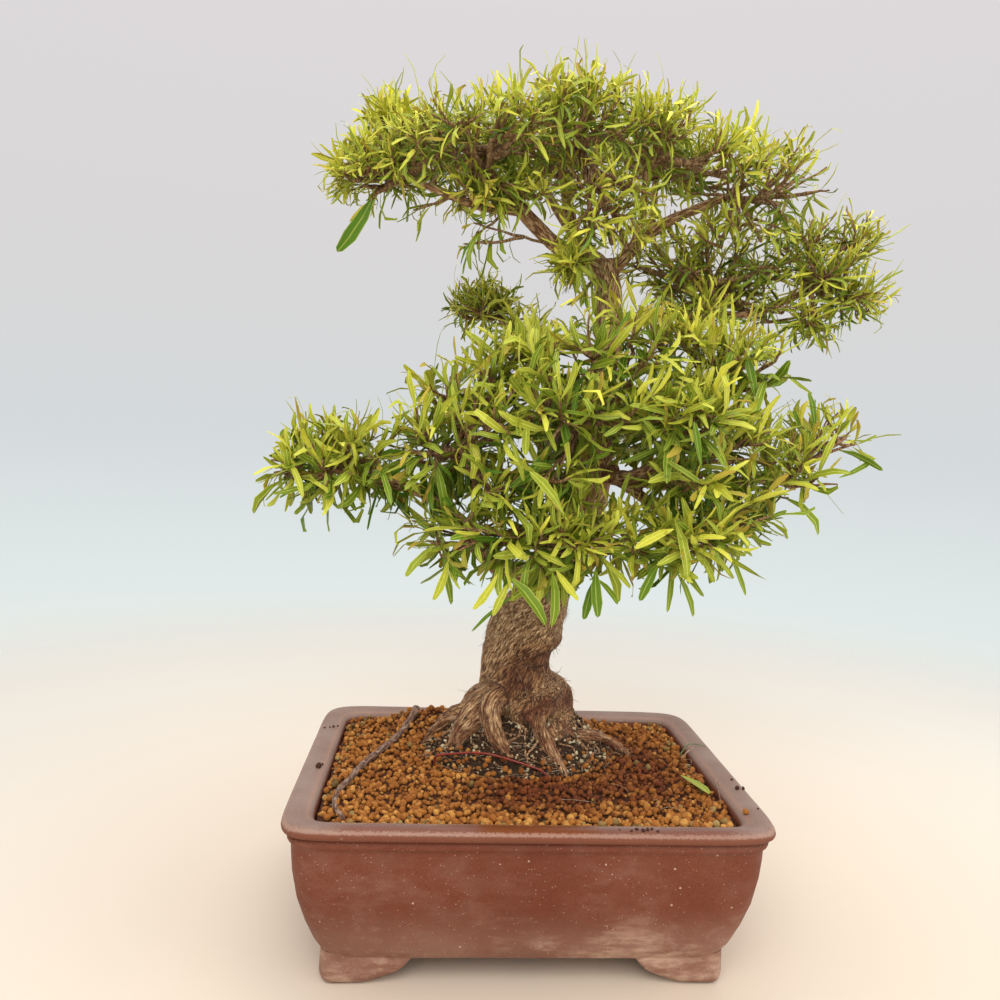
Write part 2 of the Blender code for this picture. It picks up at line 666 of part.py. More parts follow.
def core_shape(name, placed):
    """Smaller inner mass of a pad, a low cloud of rough lobes clear of the other pads' cores."""
    centre, half, _ = PADS[name]
    centre = Vector(centre) * MM
    half = Vector(half) * MM
    draw = random.Random(f"{SEED} core {name}")
    turn = draw.uniform(0, math.pi)
    lobes = []
    for number in range(CORE_LOBES + 1):
        wide, tall = SIDE_LOBE if number else MIDDLE_LOBE
        away = Vector((0, 0, 0))
        if number:
            angle = turn + 2 * math.pi * number / CORE_LOBES
            away = Vector((half.x * math.cos(angle), half.y * math.sin(angle), 0)) * LOBE_OFFSET
            away.z = draw.uniform(-0.16, 0.10) * half.z
        radii = (half.x * wide, half.y * wide, half.z * tall)
        stretches = [1 + draw.uniform(-LOBE_ROUGHNESS, LOBE_ROUGHNESS) for _ in range(LOBE_CORNERS)]
        tree = BVHTree.FromPolygons(*lobe(centre + away, radii, stretches, 2 * CLEARANCE))
        if number == 0 or not any(tree.overlap(other) for other in placed):
            lobes.append(lobe(centre + away, radii, stretches))
    core = add_object("core", lobes[0])
    combine(core, "UNION", lobes[1:], "MANIFOLD")
    shape = shape_of(core)
    bpy.data.objects.remove(core, do_unlink=True)
    return shape


def even_direction(number, count, turn):
    """One of count directions spread evenly over a ball."""
    z = 1 - 2 * (number + 0.5) / count
    angle = number * math.pi * (3 - math.sqrt(5)) + turn
    flat = math.sqrt(1 - z * z)
    return Vector((flat * math.cos(angle), flat * math.sin(angle), z))


def surface_point(tree, centre, direction):
    """Where a ray from outside meets the core on its way to the centre."""
    return tree.ray_cast(centre + direction * 0.3, -direction)[0]


class Crossings:
    """What is already placed, to find whether a new leaf would cross it."""

    def __init__(self, wood):
        self.wood = BVHTree.FromPolygons(*wood)
        self.cores = {}
        self.leaves = []

    def free(self, pad, shape, outer):
        tree = BVHTree.FromPolygons(*shape)
        if tree.overlap(self.wood):
            return None
        for name, core in self.cores.items():
            if name != pad and tree.overlap(core):
                return None
        middle = (shape[0][0] + shape[0][-1]) / 2
        reach = (shape[0][0] - shape[0][-1]).length / 2
        outer_tree = BVHTree.FromPolygons(*outer)
        for owner, other, other_outer, place, size in self.leaves:
            if (place - middle).length > reach + size + 0.004:
                continue
            if owner == pad and outer_tree.overlap(other_outer):
                return None
            if owner != pad and tree.overlap(other):
                return None
        return tree, outer_tree, middle, reach

    def add(self, pad, found):
        tree, outer_tree, middle, reach = found
        self.leaves.append((pad, tree, outer_tree, middle, reach))


def shoot_choice(draw, tree, centre, base):
    """Where a leafy shoot comes out of the core, and its lean: outward and up, or drooping underneath."""
    lean = Vector([draw.gauss(0, SHOOT_LEAN) for _ in range(3)])
    place = surface_point(tree, centre, (base + lean).normalized())
    outwards = (place - centre).normalized()
    rise = 0.45 if outwards.z > -0.2 else -0.1
    return place - outwards * LEAF_ROOT_DEPTH, (outwards + Vector((0, 0, rise)) + lean * 1.5).normalized()


def leaf_choice(draw, root, shoot, number, turn):
    """One leaf of a shoot, leaning away from it on its own side."""
    across = shoot.orthogonal().normalized()
    side = Matrix.Rotation(turn + 2 * math.pi * number / LEAVES_PER_SHOOT, 3, shoot) @ across
    spread = math.radians(draw.uniform(*LEAF_SPREAD))
    direction = (shoot * math.cos(spread) + side * math.sin(spread)).normalized()
    length, width = draw.uniform(*LEAF_LENGTH), draw.uniform(*LEAF_WIDTH)
    droop, roll = draw.uniform(*LEAF_DROOP), draw.uniform(-LEAF_ROLL, LEAF_ROLL)
    return dict(root=root, direction=direction, length=length, width=width, droop=droop, roll=roll)


def outer_half(choice):
    """The part of a leaf that stands clear of its core."""
    tip = dict(choice)
    tip["root"] = choice["root"] + choice["direction"] * choice["length"] * 0.35
    tip["length"] = choice["length"] * 0.65
    return blade(**tip, grow=CLEARANCE)


def pad_leaves(name, crossings, core):
    """Leaves in shoots spread evenly over a core, each tried until it crosses nothing that is placed."""
    centre = Vector(PADS[name][0]) * MM
    count = PADS[name][2]
    draw = random.Random(f"{SEED} {name}")
    turn = draw.uniform(0, 2 * math.pi)
    tree = BVHTree.FromPolygons(*core)
    leaves = []
    for number in range(count):
        root, shoot = shoot_choice(draw, tree, centre, even_direction(number, count, turn))
        for leaf_number in range(LEAVES_PER_SHOOT):
            for _ in range(PAD_TRIES):
                choice = leaf_choice(draw, root, shoot, leaf_number, turn + draw.uniform(-0.6, 0.6))
                found = crossings.free(name, blade(**choice, grow=CLEARANCE), outer_half(choice))
                if found:
                    crossings.add(name, found)
                    leaves.append(blade(**choice))
                    break
    return leaves


def make_pad(name, crossings, core, material, wood):
    leaves = pad_leaves(name, crossings, core)
    pad = add_object(name, core, material)
    combine(pad, "DIFFERENCE", [wood], "MANIFOLD")
    combine(pad, "UNION", leaves, "MANIFOLD")
    keep_largest(pad)
    return pad


def make_foliage(material, wood):
    crossings = Crossings(wood)
    cores = {}
    for name in PADS:
        cores[name] = core_shape(name, list(crossings.cores.values()))
        crossings.cores[name] = BVHTree.FromPolygons(*cores[name])
    return [make_pad(name, crossings, cores[name], material, wood) for name in PADS]


def hang_from_empty(pieces):
    """Parent everything to an empty that centres the bounding box over the world origin."""
    corners = [corner.co for piece in pieces for corner in piece.data.vertices]
    low = [min(corner[axis] for corner in corners) for axis in range(3)]
    high = [max(corner[axis] for corner in corners) for axis in range(3)]
    carrier = bpy.data.objects.new("bonsai", None)
    bpy.context.scene.collection.objects.link(carrier)
    carrier.location = (-(low[0] + high[0]) / 2, -(low[1] + high[1]) / 2, 0)
    for piece in pieces:
        piece.parent = carrier
    print("pot centre at", tuple(round(value, 6) for value in carrier.location))


def main():
    clear_scene()
    clay = finish("fired_brown_clay", (0.23, 0.085, 0.055), 0.72)
    bark = finish("fig_bark", (0.33, 0.22, 0.15), 0.85)
    granules = finish("clay_granules", (0.42, 0.16, 0.045), 0.95)
    humus = finish("dark_humus", (0.05, 0.032, 0.022), 0.95)
    leaf = finish("fig_leaf", (0.22, 0.34, 0.045), 0.5)
    plastic = finish("drain_screen_plastic", (0.03, 0.03, 0.03), 0.6)
    wire_coat = finish("red_wire_coat", (0.36, 0.02, 0.02), 0.4)
    dead_root = finish("dry_root", (0.30, 0.19, 0.14), 0.85)

    wood = wood_clearance()
    wire_space = wire_shape(CLEARANCE)
    pieces = [make_pot(clay), make_wood(bark)]
    pieces.append(make_screen("drain_screen_left", -1, plastic))
    pieces.append(make_screen("drain_screen_right", 1, plastic))
    pieces.append(make_root_ball(humus, [wood, wire_space]))
    soil = make_soil(granules, [wood, wire_space, loose_root_shape(CLEARANCE)])
    pieces.append(soil)
    pieces.append(add_object("anchor_wire", wire_shape(), wire_coat))
    pieces.append(add_object("loose_root", loose_root_shape(), dead_root))
    pieces.append(make_fallen_leaf(leaf, soil))
    pieces += make_foliage(leaf, wood)
    hang_from_empty(pieces)


main()
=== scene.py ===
# Willow leaf fig bonsai in its pot: the looks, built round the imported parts. Metres, +Z up.

import json
import math

import bmesh
import bpy
import numpy as np
from mathutils import Matrix, Vector, noise
from mathutils.bvhtree import BVHTree

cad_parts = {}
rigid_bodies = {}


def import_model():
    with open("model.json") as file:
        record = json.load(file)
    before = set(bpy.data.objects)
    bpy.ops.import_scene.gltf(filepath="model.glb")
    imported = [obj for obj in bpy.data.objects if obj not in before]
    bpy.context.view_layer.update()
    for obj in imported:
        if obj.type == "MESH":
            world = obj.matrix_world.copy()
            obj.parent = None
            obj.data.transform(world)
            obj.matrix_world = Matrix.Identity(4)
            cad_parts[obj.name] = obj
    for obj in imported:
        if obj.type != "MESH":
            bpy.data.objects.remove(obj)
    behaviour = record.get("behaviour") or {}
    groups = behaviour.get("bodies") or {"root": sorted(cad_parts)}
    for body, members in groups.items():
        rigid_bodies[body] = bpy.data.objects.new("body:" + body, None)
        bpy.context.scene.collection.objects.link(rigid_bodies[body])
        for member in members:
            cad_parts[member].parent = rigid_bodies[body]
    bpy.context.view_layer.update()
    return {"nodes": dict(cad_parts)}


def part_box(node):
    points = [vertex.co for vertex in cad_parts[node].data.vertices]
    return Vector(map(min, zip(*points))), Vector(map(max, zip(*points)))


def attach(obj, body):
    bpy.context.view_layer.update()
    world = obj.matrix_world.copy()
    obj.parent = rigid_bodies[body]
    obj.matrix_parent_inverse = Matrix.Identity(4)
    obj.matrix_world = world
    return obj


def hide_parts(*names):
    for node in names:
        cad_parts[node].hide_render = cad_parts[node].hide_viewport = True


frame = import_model()
potLow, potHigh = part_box("pot")
potCentre = np.array([(potLow.x + potHigh.x) / 2, (potLow.y + potHigh.y) / 2, 0.0])
mm = 0.001
print("frame loaded, pot centre at", potCentre)


# Small tools

def toFrame(points):
    # millimetres round the pot's centre on the ground, to metres in the frame
    return np.asarray(points, float) * mm + potCentre


def unit(vectors):
    vectors = np.asarray(vectors, float)
    return vectors / np.maximum(np.linalg.norm(vectors, axis=-1, keepdims=True), 1e-12)


def smoothLine(points, steps):
    # Catmull-Rom curve through the rows of points
    points = np.asarray(points, float)
    padded = np.vstack([points[:1], points, points[-1:]])
    result = []
    for number in range(len(points) - 1):
        before, start, end, after = padded[number:number + 4]
        for t in np.arange(steps) / steps:
            result.append(0.5 * (2 * start + (end - before) * t
                                 + (2 * before - 5 * start + 4 * end - after) * t**2
                                 + (3 * start - before - 3 * end + after) * t**3))
    result.append(points[-1])
    return np.array(result)


def lengthsAlong(line):
    return np.concatenate([[0], np.cumsum(np.linalg.norm(np.diff(line, axis=0), axis=1))])


def alongFrames(line):
    # tangent and two sides at each point of a line, carried along without twist
    tangents = unit(np.gradient(line, axis=0))
    helper = np.array([0.0, 0.0, 1.0]) if abs(tangents[0][2]) < 0.9 else np.array([1.0, 0.0, 0.0])
    side = unit(np.cross(helper, tangents[0]))
    sides = []
    for tangent in tangents:
        side = unit(side - tangent * side.dot(tangent))
        sides.append(side)
    sides = np.array(sides)
    return tangents, sides, np.cross(tangents, sides)


def circle(count):
    return np.arange(count) * 2 * math.pi / count


def placeObject(name, data):
    made = bpy.data.objects.new(name, data)
    bpy.context.scene.collection.objects.link(made)
    return made


def writeValues(mesh, values):
    # a named number or vector for each point
    for label, data in values.items():
        data = np.asarray(data, np.float32)
        kind, field = ("FLOAT", "value") if data.ndim == 1 else ("FLOAT_VECTOR", "vector")
        mesh.attributes.new(label, kind, "POINT").data.foreach_set(field, data.ravel())


class Shapes:
    # many closed shapes gathered for one mesh, with named values for each point
    def __init__(self):
        self.points, self.faces, self.values, self.count = [], [], {}, 0

    def add(self, points, faces, **values):
        points = np.asarray(points, float).reshape(-1, 3)
        for group in faces:
            self.faces.extend((np.asarray(group) + self.count).tolist())
        for label, value in values.items():
            value = np.asarray(value, float)
            if value.shape[:1] != (len(points),):
                value = np.broadcast_to(value, (len(points),) + value.shape)
            self.values.setdefault(label, []).append(value)
        self.points.append(points)
        self.count += len(points)

    def addBark(self, shape, red, darkAndShade=0.0, space=None):
        # a shape with what the bark finish reads
        self.add(*shape, barkSpace=shape[0] if space is None else space, barkRed=red, barkHollow=darkAndShade)

    def toMesh(self, name):
        mesh = bpy.data.meshes.new(name)
        mesh.from_pydata(np.concatenate(self.points).tolist(), [], self.faces)
        writeValues(mesh, {label: np.concatenate(parts) for label, parts in self.values.items()})
        return mesh


def makePiece(name, made, material, standsFor=(), sharpAngle=None):
    # made is the gathered shapes or a finished mesh
    mesh = made.toMesh(name) if isinstance(made, Shapes) else made
    mesh.name = name
    mesh.materials.clear()
    mesh.materials.append(material)
    mesh.shade_smooth()
    if sharpAngle:
        mesh.set_sharp_from_angle(angle=math.radians(sharpAngle))
    piece = placeObject(name, mesh)
    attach(piece, "root")
    if standsFor:
        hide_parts(*standsFor)
    mesh.calc_loop_triangles()
    print(f"{name}: {len(mesh.loop_triangles)} triangles")
    return piece


def ringQuads(levels, count):
    # faces between rings of equal count
    ring = np.arange(count)
    after = (ring + 1) % count
    level = (np.arange(levels - 1) * count)[:, None]
    quads = [level + ring, level + after, level + count + after, level + count + ring]
    return np.stack(quads, -1).reshape(-1, 4)


def pointedEnds(levels, count):
    # triangles from the first and the last ring to the two points that follow all rings
    ring = np.arange(count)
    after = (ring + 1) % count
    top, tip = (levels - 1) * count, levels * count
    return np.concatenate([np.stack([np.full(count, tip), after, ring], -1),
                           np.stack([np.full(count, tip + 1), top + ring, top + after], -1)])


def ringsAlong(line, radii, sides):
    # radii: one row for each point of the line, with one value or one for each side
    tangents, sideA, sideB = alongFrames(line)
    angles = circle(sides)
    around = np.cos(angles)[None, :, None] * sideA[:, None] + np.sin(angles)[None, :, None] * sideB[:, None]
    return line[:, None] + around * radii[..., None], tangents


def tubeShape(line, radii, sides):
    # closed round bar with a low cone at each end
    radii = np.broadcast_to(np.asarray(radii, float), (len(line),))
    rings, tangents = ringsAlong(line, radii[:, None], sides)
    points = np.concatenate([rings.reshape(-1, 3), [line[0] - tangents[0] * radii[0] * 0.6],
                             [line[-1] + tangents[-1] * radii[-1] * 0.6]])
    return points, [ringQuads(len(line), sides), pointedEnds(len(line), sides)]


def loftShape(rings):
    # skin over rings of equal count, closed by one flat face at each end
    rings = np.asarray(rings, float)
    levels, count = rings.shape[:2]
    ring = np.arange(count)
    ends = [ring[::-1][None], (levels - 1) * count + ring[None]]
    return rings.reshape(-1, 3), [ringQuads(levels, count), *ends]


def ballTemplate(subdivisions):
    ball = bmesh.new()
    bmesh.ops.create_icosphere(ball, subdivisions=subdivisions, radius=1.0)
    ball.verts.index_update()
    points = np.array([corner.co for corner in ball.verts])
    faces = np.array([[corner.index for corner in face.verts] for face in ball.faces])
    ball.free()
    return unit(points), faces


def randomTurns(rng, count):
    # evenly spread random rotation matrices
    quaternions = unit(rng.normal(size=(count, 4)))
    w, x, y, z = quaternions.T
    return np.stack([1 - 2 * (y * y + z * z), 2 * (x * y - z * w), 2 * (x * z + y * w),
                     2 * (x * y + z * w), 1 - 2 * (x * x + z * z), 2 * (y * z - x * w),
                     2 * (x * z - y * w), 2 * (y * z + x * w), 1 - 2 * (x * x + y * y)], -1).reshape(-1, 3, 3)


def addLumps(shapes, rng, centres, sizes, subdivisions, flatness, earthTone):
    # irregular rounded lumps: a ball pushed in and out by a few random waves, then squeezed and turned
    ball, faces = ballTemplate(subdivisions)
    count = len(centres)
    waves = rng.normal(size=(count, 4, 3)) * 1.7
    phases = rng.uniform(0, 2 * math.pi, (count, 4))
    bumps = np.sin(np.einsum("pk,cwk->cwp", ball, waves) + phases[:, :, None]).sum(1)
    radius = 1 + 0.105 * bumps
    squeeze = rng.uniform(flatness, 1.0, (count, 3))
    local = ball[None] * radius[:, :, None] * squeeze[:, None]
    halfSizes = (np.asarray(sizes) / 2)[:, None, None]
    turned = np.einsum("cij,cpj->cpi", randomTurns(rng, count), local) * halfSizes
    points = turned + np.asarray(centres)[:, None]
    offsets = np.arange(count) * len(ball)
    shapes.add(points, [(faces[None] + offsets[:, None, None]).reshape(-1, 3)],
               earthTone=np.repeat(earthTone, len(ball), axis=0))


# Shader groups that several finishes share

class Recipe:
    # the nodes of one material or group, joined as they are put down
    def __init__(self, tree):
        self.tree = tree

    def feed(self, socket, value):
        # the value is a number, a colour or the output of another node
        if isinstance(value, bpy.types.NodeSocket):
            self.tree.links.new(value, socket)
        elif socket.type == "RGBA":
            socket.default_value = (*value, 1.0)
        else:
            socket.default_value = value

    def node(self, kind, feeds=(), **settings):
        made = self.tree.nodes.new(kind)
        for label, value in settings.items():
            setattr(made, label, value)
        for label, value in feeds:
            self.feed(made.inputs[label], value)
        return made

    def maths(self, operation, *values, clamp=False):
        return self.node("ShaderNodeMath", enumerate(values), operation=operation, use_clamp=clamp).outputs[0]

    def plus(self, first, second, clamp=False):
        return self.maths("ADD", first, second, clamp=clamp)

    def minus(self, first, second, clamp=False):
        return self.maths("SUBTRACT", first, second, clamp=clamp)

    def times(self, first, *others):
        for other in others:
            first = self.maths("MULTIPLY", first, other)
        return first

    def rise(self, value, low, high):
        # nothing below low, one above high, smooth between
        feeds = (("Value", value), ("From Min", low), ("From Max", high))
        return self.node("ShaderNodeMapRange", feeds, interpolation_type="SMOOTHSTEP").outputs["Result"]

    def fall(self, value, low, high):
        return self.minus(1.0, self.rise(value, low, high))

    def mix(self, factor, first, second):
        return self.node("ShaderNodeMix", ((0, factor), (6, first), (7, second)), data_type="RGBA").outputs[2]

    def split(self, vector):
        return self.node("ShaderNodeSeparateXYZ", ((0, vector),)).outputs

    def scaled(self, vector, factors):
        return self.node("ShaderNodeVectorMath", ((0, vector), (1, factors)), operation="MULTIPLY").outputs[0]

    def clouds(self, vector, scale, **more):
        feeds = [("Vector", vector), ("Scale", scale), *more.items()]
        return self.node("ShaderNodeTexNoise", feeds).outputs[0]

    def space(self):
        return self.node("ShaderNodeTexCoord").outputs["Object"]

    def attribute(self, name):
        return self.node("ShaderNodeAttribute", attribute_name=name).outputs

    def place(self, group, **feeds):
        return self.node("ShaderNodeGroup", feeds.items(), node_tree=group).outputs

    def patches(self, vector, scale, level, softness):
        return self.place(softPatches, Vector=vector, Scale=scale, Level=level, Softness=softness)["Mask"]

    def grain(self, vector, scale, coarse):
        return self.place(surfaceGrain, Vector=vector, Scale=scale, Coarse=coarse)

    def tones(self, factor, dark, middle, light):
        return self.place(threeTones, Factor=factor, Dark=dark, Middle=middle, Light=light)["Color"]

    def bump(self, shader, height, distance, strength=1.0):
        feeds = (("Strength", strength), ("Distance", distance), ("Height", height))
        self.feed(shader.inputs["Normal"], self.node("ShaderNodeBump", feeds).outputs["Normal"])


def newGroup(name, inputs, outputs):
    # each input or output with its kind; a number stands for a float input and is its usual value
    tree = bpy.data.node_groups.new(name, "ShaderNodeTree")
    for direction, sockets in (("INPUT", inputs), ("OUTPUT", outputs)):
        for label, kind in sockets.items():
            isNumber = isinstance(kind, float)
            socket = tree.interface.new_socket(label, in_out=direction,
                                               socket_type="NodeSocket" + ("Float" if isNumber else kind))
            if isNumber:
                socket.default_value = kind
    return Recipe(tree), tree.nodes.new("NodeGroupInput").outputs, tree.nodes.new("NodeGroupOutput").inputs


def makeSoftPatches():
    # cloudy mask: one where the noise is above the level, with soft edges
    inputs = {"Vector": "Vector", "Scale": 20.0, "Level": 0.5, "Softness": 0.1}
    recipe, given, result = newGroup("softPatches", inputs, {"Mask": "Float"})
    cloud = recipe.clouds(given["Vector"], given["Scale"], Detail=5.0, Roughness=0.6)
    low = recipe.minus(given["Level"], given["Softness"])
    high = recipe.plus(given["Level"], given["Softness"])
    recipe.feed(result["Mask"], recipe.rise(cloud, low, high))
    return recipe.tree


def makeFineSpecks():
    # small round specks, only some of the cells filled
    inputs = {"Vector": "Vector", "Scale": 400.0, "Share": 0.2, "Size": 0.25}
    recipe, given, result = newGroup("fineSpecks", inputs, {"Mask": "Float"})
    feeds = [("Vector", given["Vector"]), ("Scale", given["Scale"])]
    cells = recipe.node("ShaderNodeTexVoronoi", feeds).outputs
    picked = recipe.node("ShaderNodeSeparateColor", ((0, cells["Color"]),)).outputs[0]
    chosen = recipe.maths("LESS_THAN", picked, given["Share"])
    dot = recipe.maths("LESS_THAN", cells["Distance"], given["Size"])
    recipe.feed(result["Mask"], recipe.times(chosen, dot))
    return recipe.tree


def makeGrain():
    # fine and coarse unevenness of a natural surface, as a height and as a mask for colour
    inputs = {"Vector": "Vector", "Scale": 300.0, "Coarse": 0.5}
    recipe, given, result = newGroup("surfaceGrain", inputs, {"Height": "Float", "Mask": "Float"})
    fine = recipe.clouds(given["Vector"], given["Scale"], Detail=4.0)
    coarse = recipe.clouds(given["Vector"], recipe.times(given["Scale"], 0.2), Detail=3.0)
    recipe.feed(result["Height"], recipe.plus(fine, recipe.times(coarse, given["Coarse"])))
    recipe.feed(result["Mask"], recipe.rise(fine, 0.35, 0.65))
    return recipe.tree


def makeThreeTones():
    # dark, middle and light colour along one factor
    inputs = {"Factor": 0.5, "Dark": "Color", "Middle": "Color", "Light": "Color"}
    recipe, given, result = newGroup("threeTones", inputs, {"Color": "Color"})
    lower = recipe.maths("MULTIPLY", given["Factor"], 2.0, clamp=True)
    upper = recipe.minus(recipe.times(given["Factor"], 2.0), 1.0, clamp=True)
    first = recipe.mix(lower, given["Dark"], given["Middle"])
    recipe.feed(result["Color"], recipe.mix(upper, first, given["Light"]))
    return recipe.tree


softPatches = makeSoftPatches()
fineSpecks = makeFineSpecks()
surfaceGrain = makeGrain()
threeTones = makeThreeTones()


def startMaterial(name, roughness):
    material = bpy.data.materials.new(name)
    material.use_nodes = True
    shader = material.node_tree.nodes["Principled BSDF"]
    shader.inputs["Roughness"].default_value = roughness
    return material, Recipe(material.node_tree), shader



# Camera, floor, sky and lights

viewPoint = {
    "place": (-61.6, -581.4, 332.1),  # millimetres from the pot's centre on the ground
    "right": (0.99687, -0.06597, 0.04352),
    "up": (-0.03890, 0.06979, 0.99680),
    "back": (-0.06879, -0.99538, 0.06700),
    "lens": 30.136,
}
skyTones = [
    (-1.0, (0.960, 0.840, 0.700)), (-0.42, (0.960, 0.850, 0.720)), (-0.30, (0.900, 0.850, 0.760)),
    (-0.17, (0.755, 0.825, 0.815)), (0.0, (0.665, 0.700, 0.715)), (0.18, (0.690, 0.680, 0.680)),
    (0.5, (0.735, 0.700, 0.720)), (1.0, (0.760, 0.720, 0.740)),
]
lampSet = {
    "front": {"place": (-220, -1150, 1250), "aim": (0, 0, 260), "size": 1.1, "power": 15.0,
              "colour": (1.0, 0.965, 0.90)},
    "right": {"place": (1150, -500, 700), "aim": (0, 0, 260), "size": 1.0, "power": 4.5,
              "colour": (1.0, 0.97, 0.93)},
    "top": {"place": (100, 250, 1700), "aim": (0, 0, 300), "size": 1.3, "power": 13.0,
            "colour": (1.0, 0.99, 0.96)},
}
floorLook = {
    "near": (0.735, 0.640, 0.520), "far": (0.700, 0.680, 0.610),
    "fadeFrom": 0.55, "fadeTo": 1.25, "radius": 1.6,
}


def makeCamera():
    data = bpy.data.cameras.new("photoView")
    data.lens = viewPoint["lens"]
    data.sensor_width = 36.0
    data.clip_start = 0.01
    data.clip_end = 50.0
    camera = placeObject("photoView", data)
    turn = Matrix([viewPoint["right"], viewPoint["up"], viewPoint["back"]]).transposed()
    camera.matrix_world = Matrix.Translation(toFrame(viewPoint["place"]).tolist()) @ turn.to_4x4()
    bpy.context.scene.camera = camera


def makeSky():
    world = bpy.data.worlds.new("studioSky")
    bpy.context.scene.world = world
    world.use_nodes = True
    sky = Recipe(world.node_tree)
    height = sky.split(sky.node("ShaderNodeTexCoord").outputs["Generated"])[2]
    ramp = sky.node("ShaderNodeValToRGB", ((0, sky.times(sky.plus(height, 1.0), 0.5)),))
    stops = ramp.color_ramp.elements
    for number, (level, colour) in enumerate(skyTones):
        stop = stops[number] if number < 2 else stops.new((level + 1) / 2)
        stop.position = (level + 1) / 2
        stop.color = (*colour, 1.0)
    background = world.node_tree.nodes["Background"]
    sky.feed(background.inputs["Color"], ramp.outputs[0])
    background.inputs["Strength"].default_value = 1.0


def makeFloor():
    # its edge fades out into the sky
    material, floor, shader = startMaterial("paleFloor", 0.9)
    x, y, _ = floor.split(floor.space())
    away = floor.maths("SQRT", floor.plus(floor.maths("POWER", x, 2.0), floor.maths("POWER", y, 2.0)))
    colour = floor.mix(floor.rise(away, 0.15, 0.75), floorLook["near"], floorLook["far"])
    floor.feed(shader.inputs["Base Color"], colour)
    floor.feed(shader.inputs["Alpha"], floor.fall(away, floorLook["fadeFrom"], floorLook["fadeTo"]))
    angles = circle(96)
    ring = np.stack([np.cos(angles), np.sin(angles), angles * 0], -1) * floorLook["radius"]
    mesh = bpy.data.meshes.new("paleFloor")
    mesh.from_pydata(ring.tolist(), [], [tuple(range(96))])
    mesh.materials.append(material)
    placeObject("paleFloor", mesh)


def makeLamps():
    for name, lamp in lampSet.items():
        data = bpy.data.lights.new(name, "AREA")
        data.size = lamp["size"]
        data.energy = lamp["power"]
        data.color = lamp["colour"]
        place, aim = Vector(toFrame(lamp["place"])), Vector(toFrame(lamp["aim"]))
        light = placeObject(name, data)
        light.location = place
        light.rotation_euler = (aim - place).to_track_quat("-Z", "Y").to_euler()


makeCamera()
makeSky()
makeFloor()
makeLamps()
bpy.context.scene.view_settings.view_transform = "Standard"
print("camera, sky, floor and lamps are up")


# The pot

potForm = {
    "outside": [(36, 16.2), (29, 16), (25.5, 17.2), (23, 19.5), (18.5, 28), (13.5, 42), (9, 58), (6.4, 74),
                (5.6, 86), (5.4, 92.6), (4.7, 94.6), (3.6, 95.6), (3.1, 97.0), (3.2, 98.6), (4.0, 99.6),
                (4.4, 100.2), (3.8, 100.9), (1.6, 101.5), (0.5, 102.7), (0.0, 104.2), (0.3, 105.8),
                (1.3, 107.3), (3.0, 108.3), (5.4, 108.7)],
    "inside": [(10.0, 108.2), (14.2, 107.0), (16.9, 105.4), (18.2, 103.6), (18.6, 101.0), (17.9, 92.0),
               (17.4, 86), (19.5, 58), (26, 38), (36, 25)],
    "corners": (13.8, 22.0),
    "perQuarter": 26,
    "footOutline": [(0, 0), (8, 0), (15, 0.2), (22, 1.3), (29, 3.4), (34.5, 5.4), (38.5, 6.9), (41.5, 8.8),
                    (44.5, 11.8), (47, 14.8), (49.5, 17.5)],
    "footSpan": (126, 91),
    "footThickness": 14,
    "footRound": 9,
    "footShorter": 0.84,
    "drainRadius": 11,
    "drainOffset": 62,
}
potLook = {
    "bodyDark": (0.116, 0.028, 0.012), "body": (0.164, 0.041, 0.018), "bodyPale": (0.215, 0.068, 0.036),
    "rim": (0.226, 0.138, 0.108), "rimPale": (0.345, 0.256, 0.212), "bloom": (0.48, 0.31, 0.225),
    "speck": (0.70, 0.54, 0.42), "worn": (0.40, 0.23, 0.165), "lip": (0.200, 0.068, 0.037),
    "damp": (0.190, 0.066, 0.040), "wet": (0.190, 0.052, 0.014), "scuff": (0.50, 0.36, 0.29),
    "roughness": 0.55,
}
potWidth, potDepth, _ = potHigh - potLow


def cornerReach(angles, exponent):
    return (np.abs(np.cos(angles)) ** exponent + np.abs(np.sin(angles)) ** exponent) ** (-1 / exponent)


def planRing(inset, height, exponent, perQuarter):
    # rounded rectangle with its points crowded at the corners
    spread = -1 + 2 * np.arange(perQuarter) / perQuarter
    bent = np.sign(spread) * np.abs(spread) ** 2.4
    angles = np.radians(np.concatenate([45 + 90 * quarter + 45 * bent for quarter in range(4)]))
    reach = cornerReach(angles, exponent)
    return np.stack([(potWidth / 2 - inset * mm) * reach * np.cos(angles),
                     (potDepth / 2 - inset * mm) * reach * np.sin(angles),
                     np.full(len(angles), height * mm)], -1)


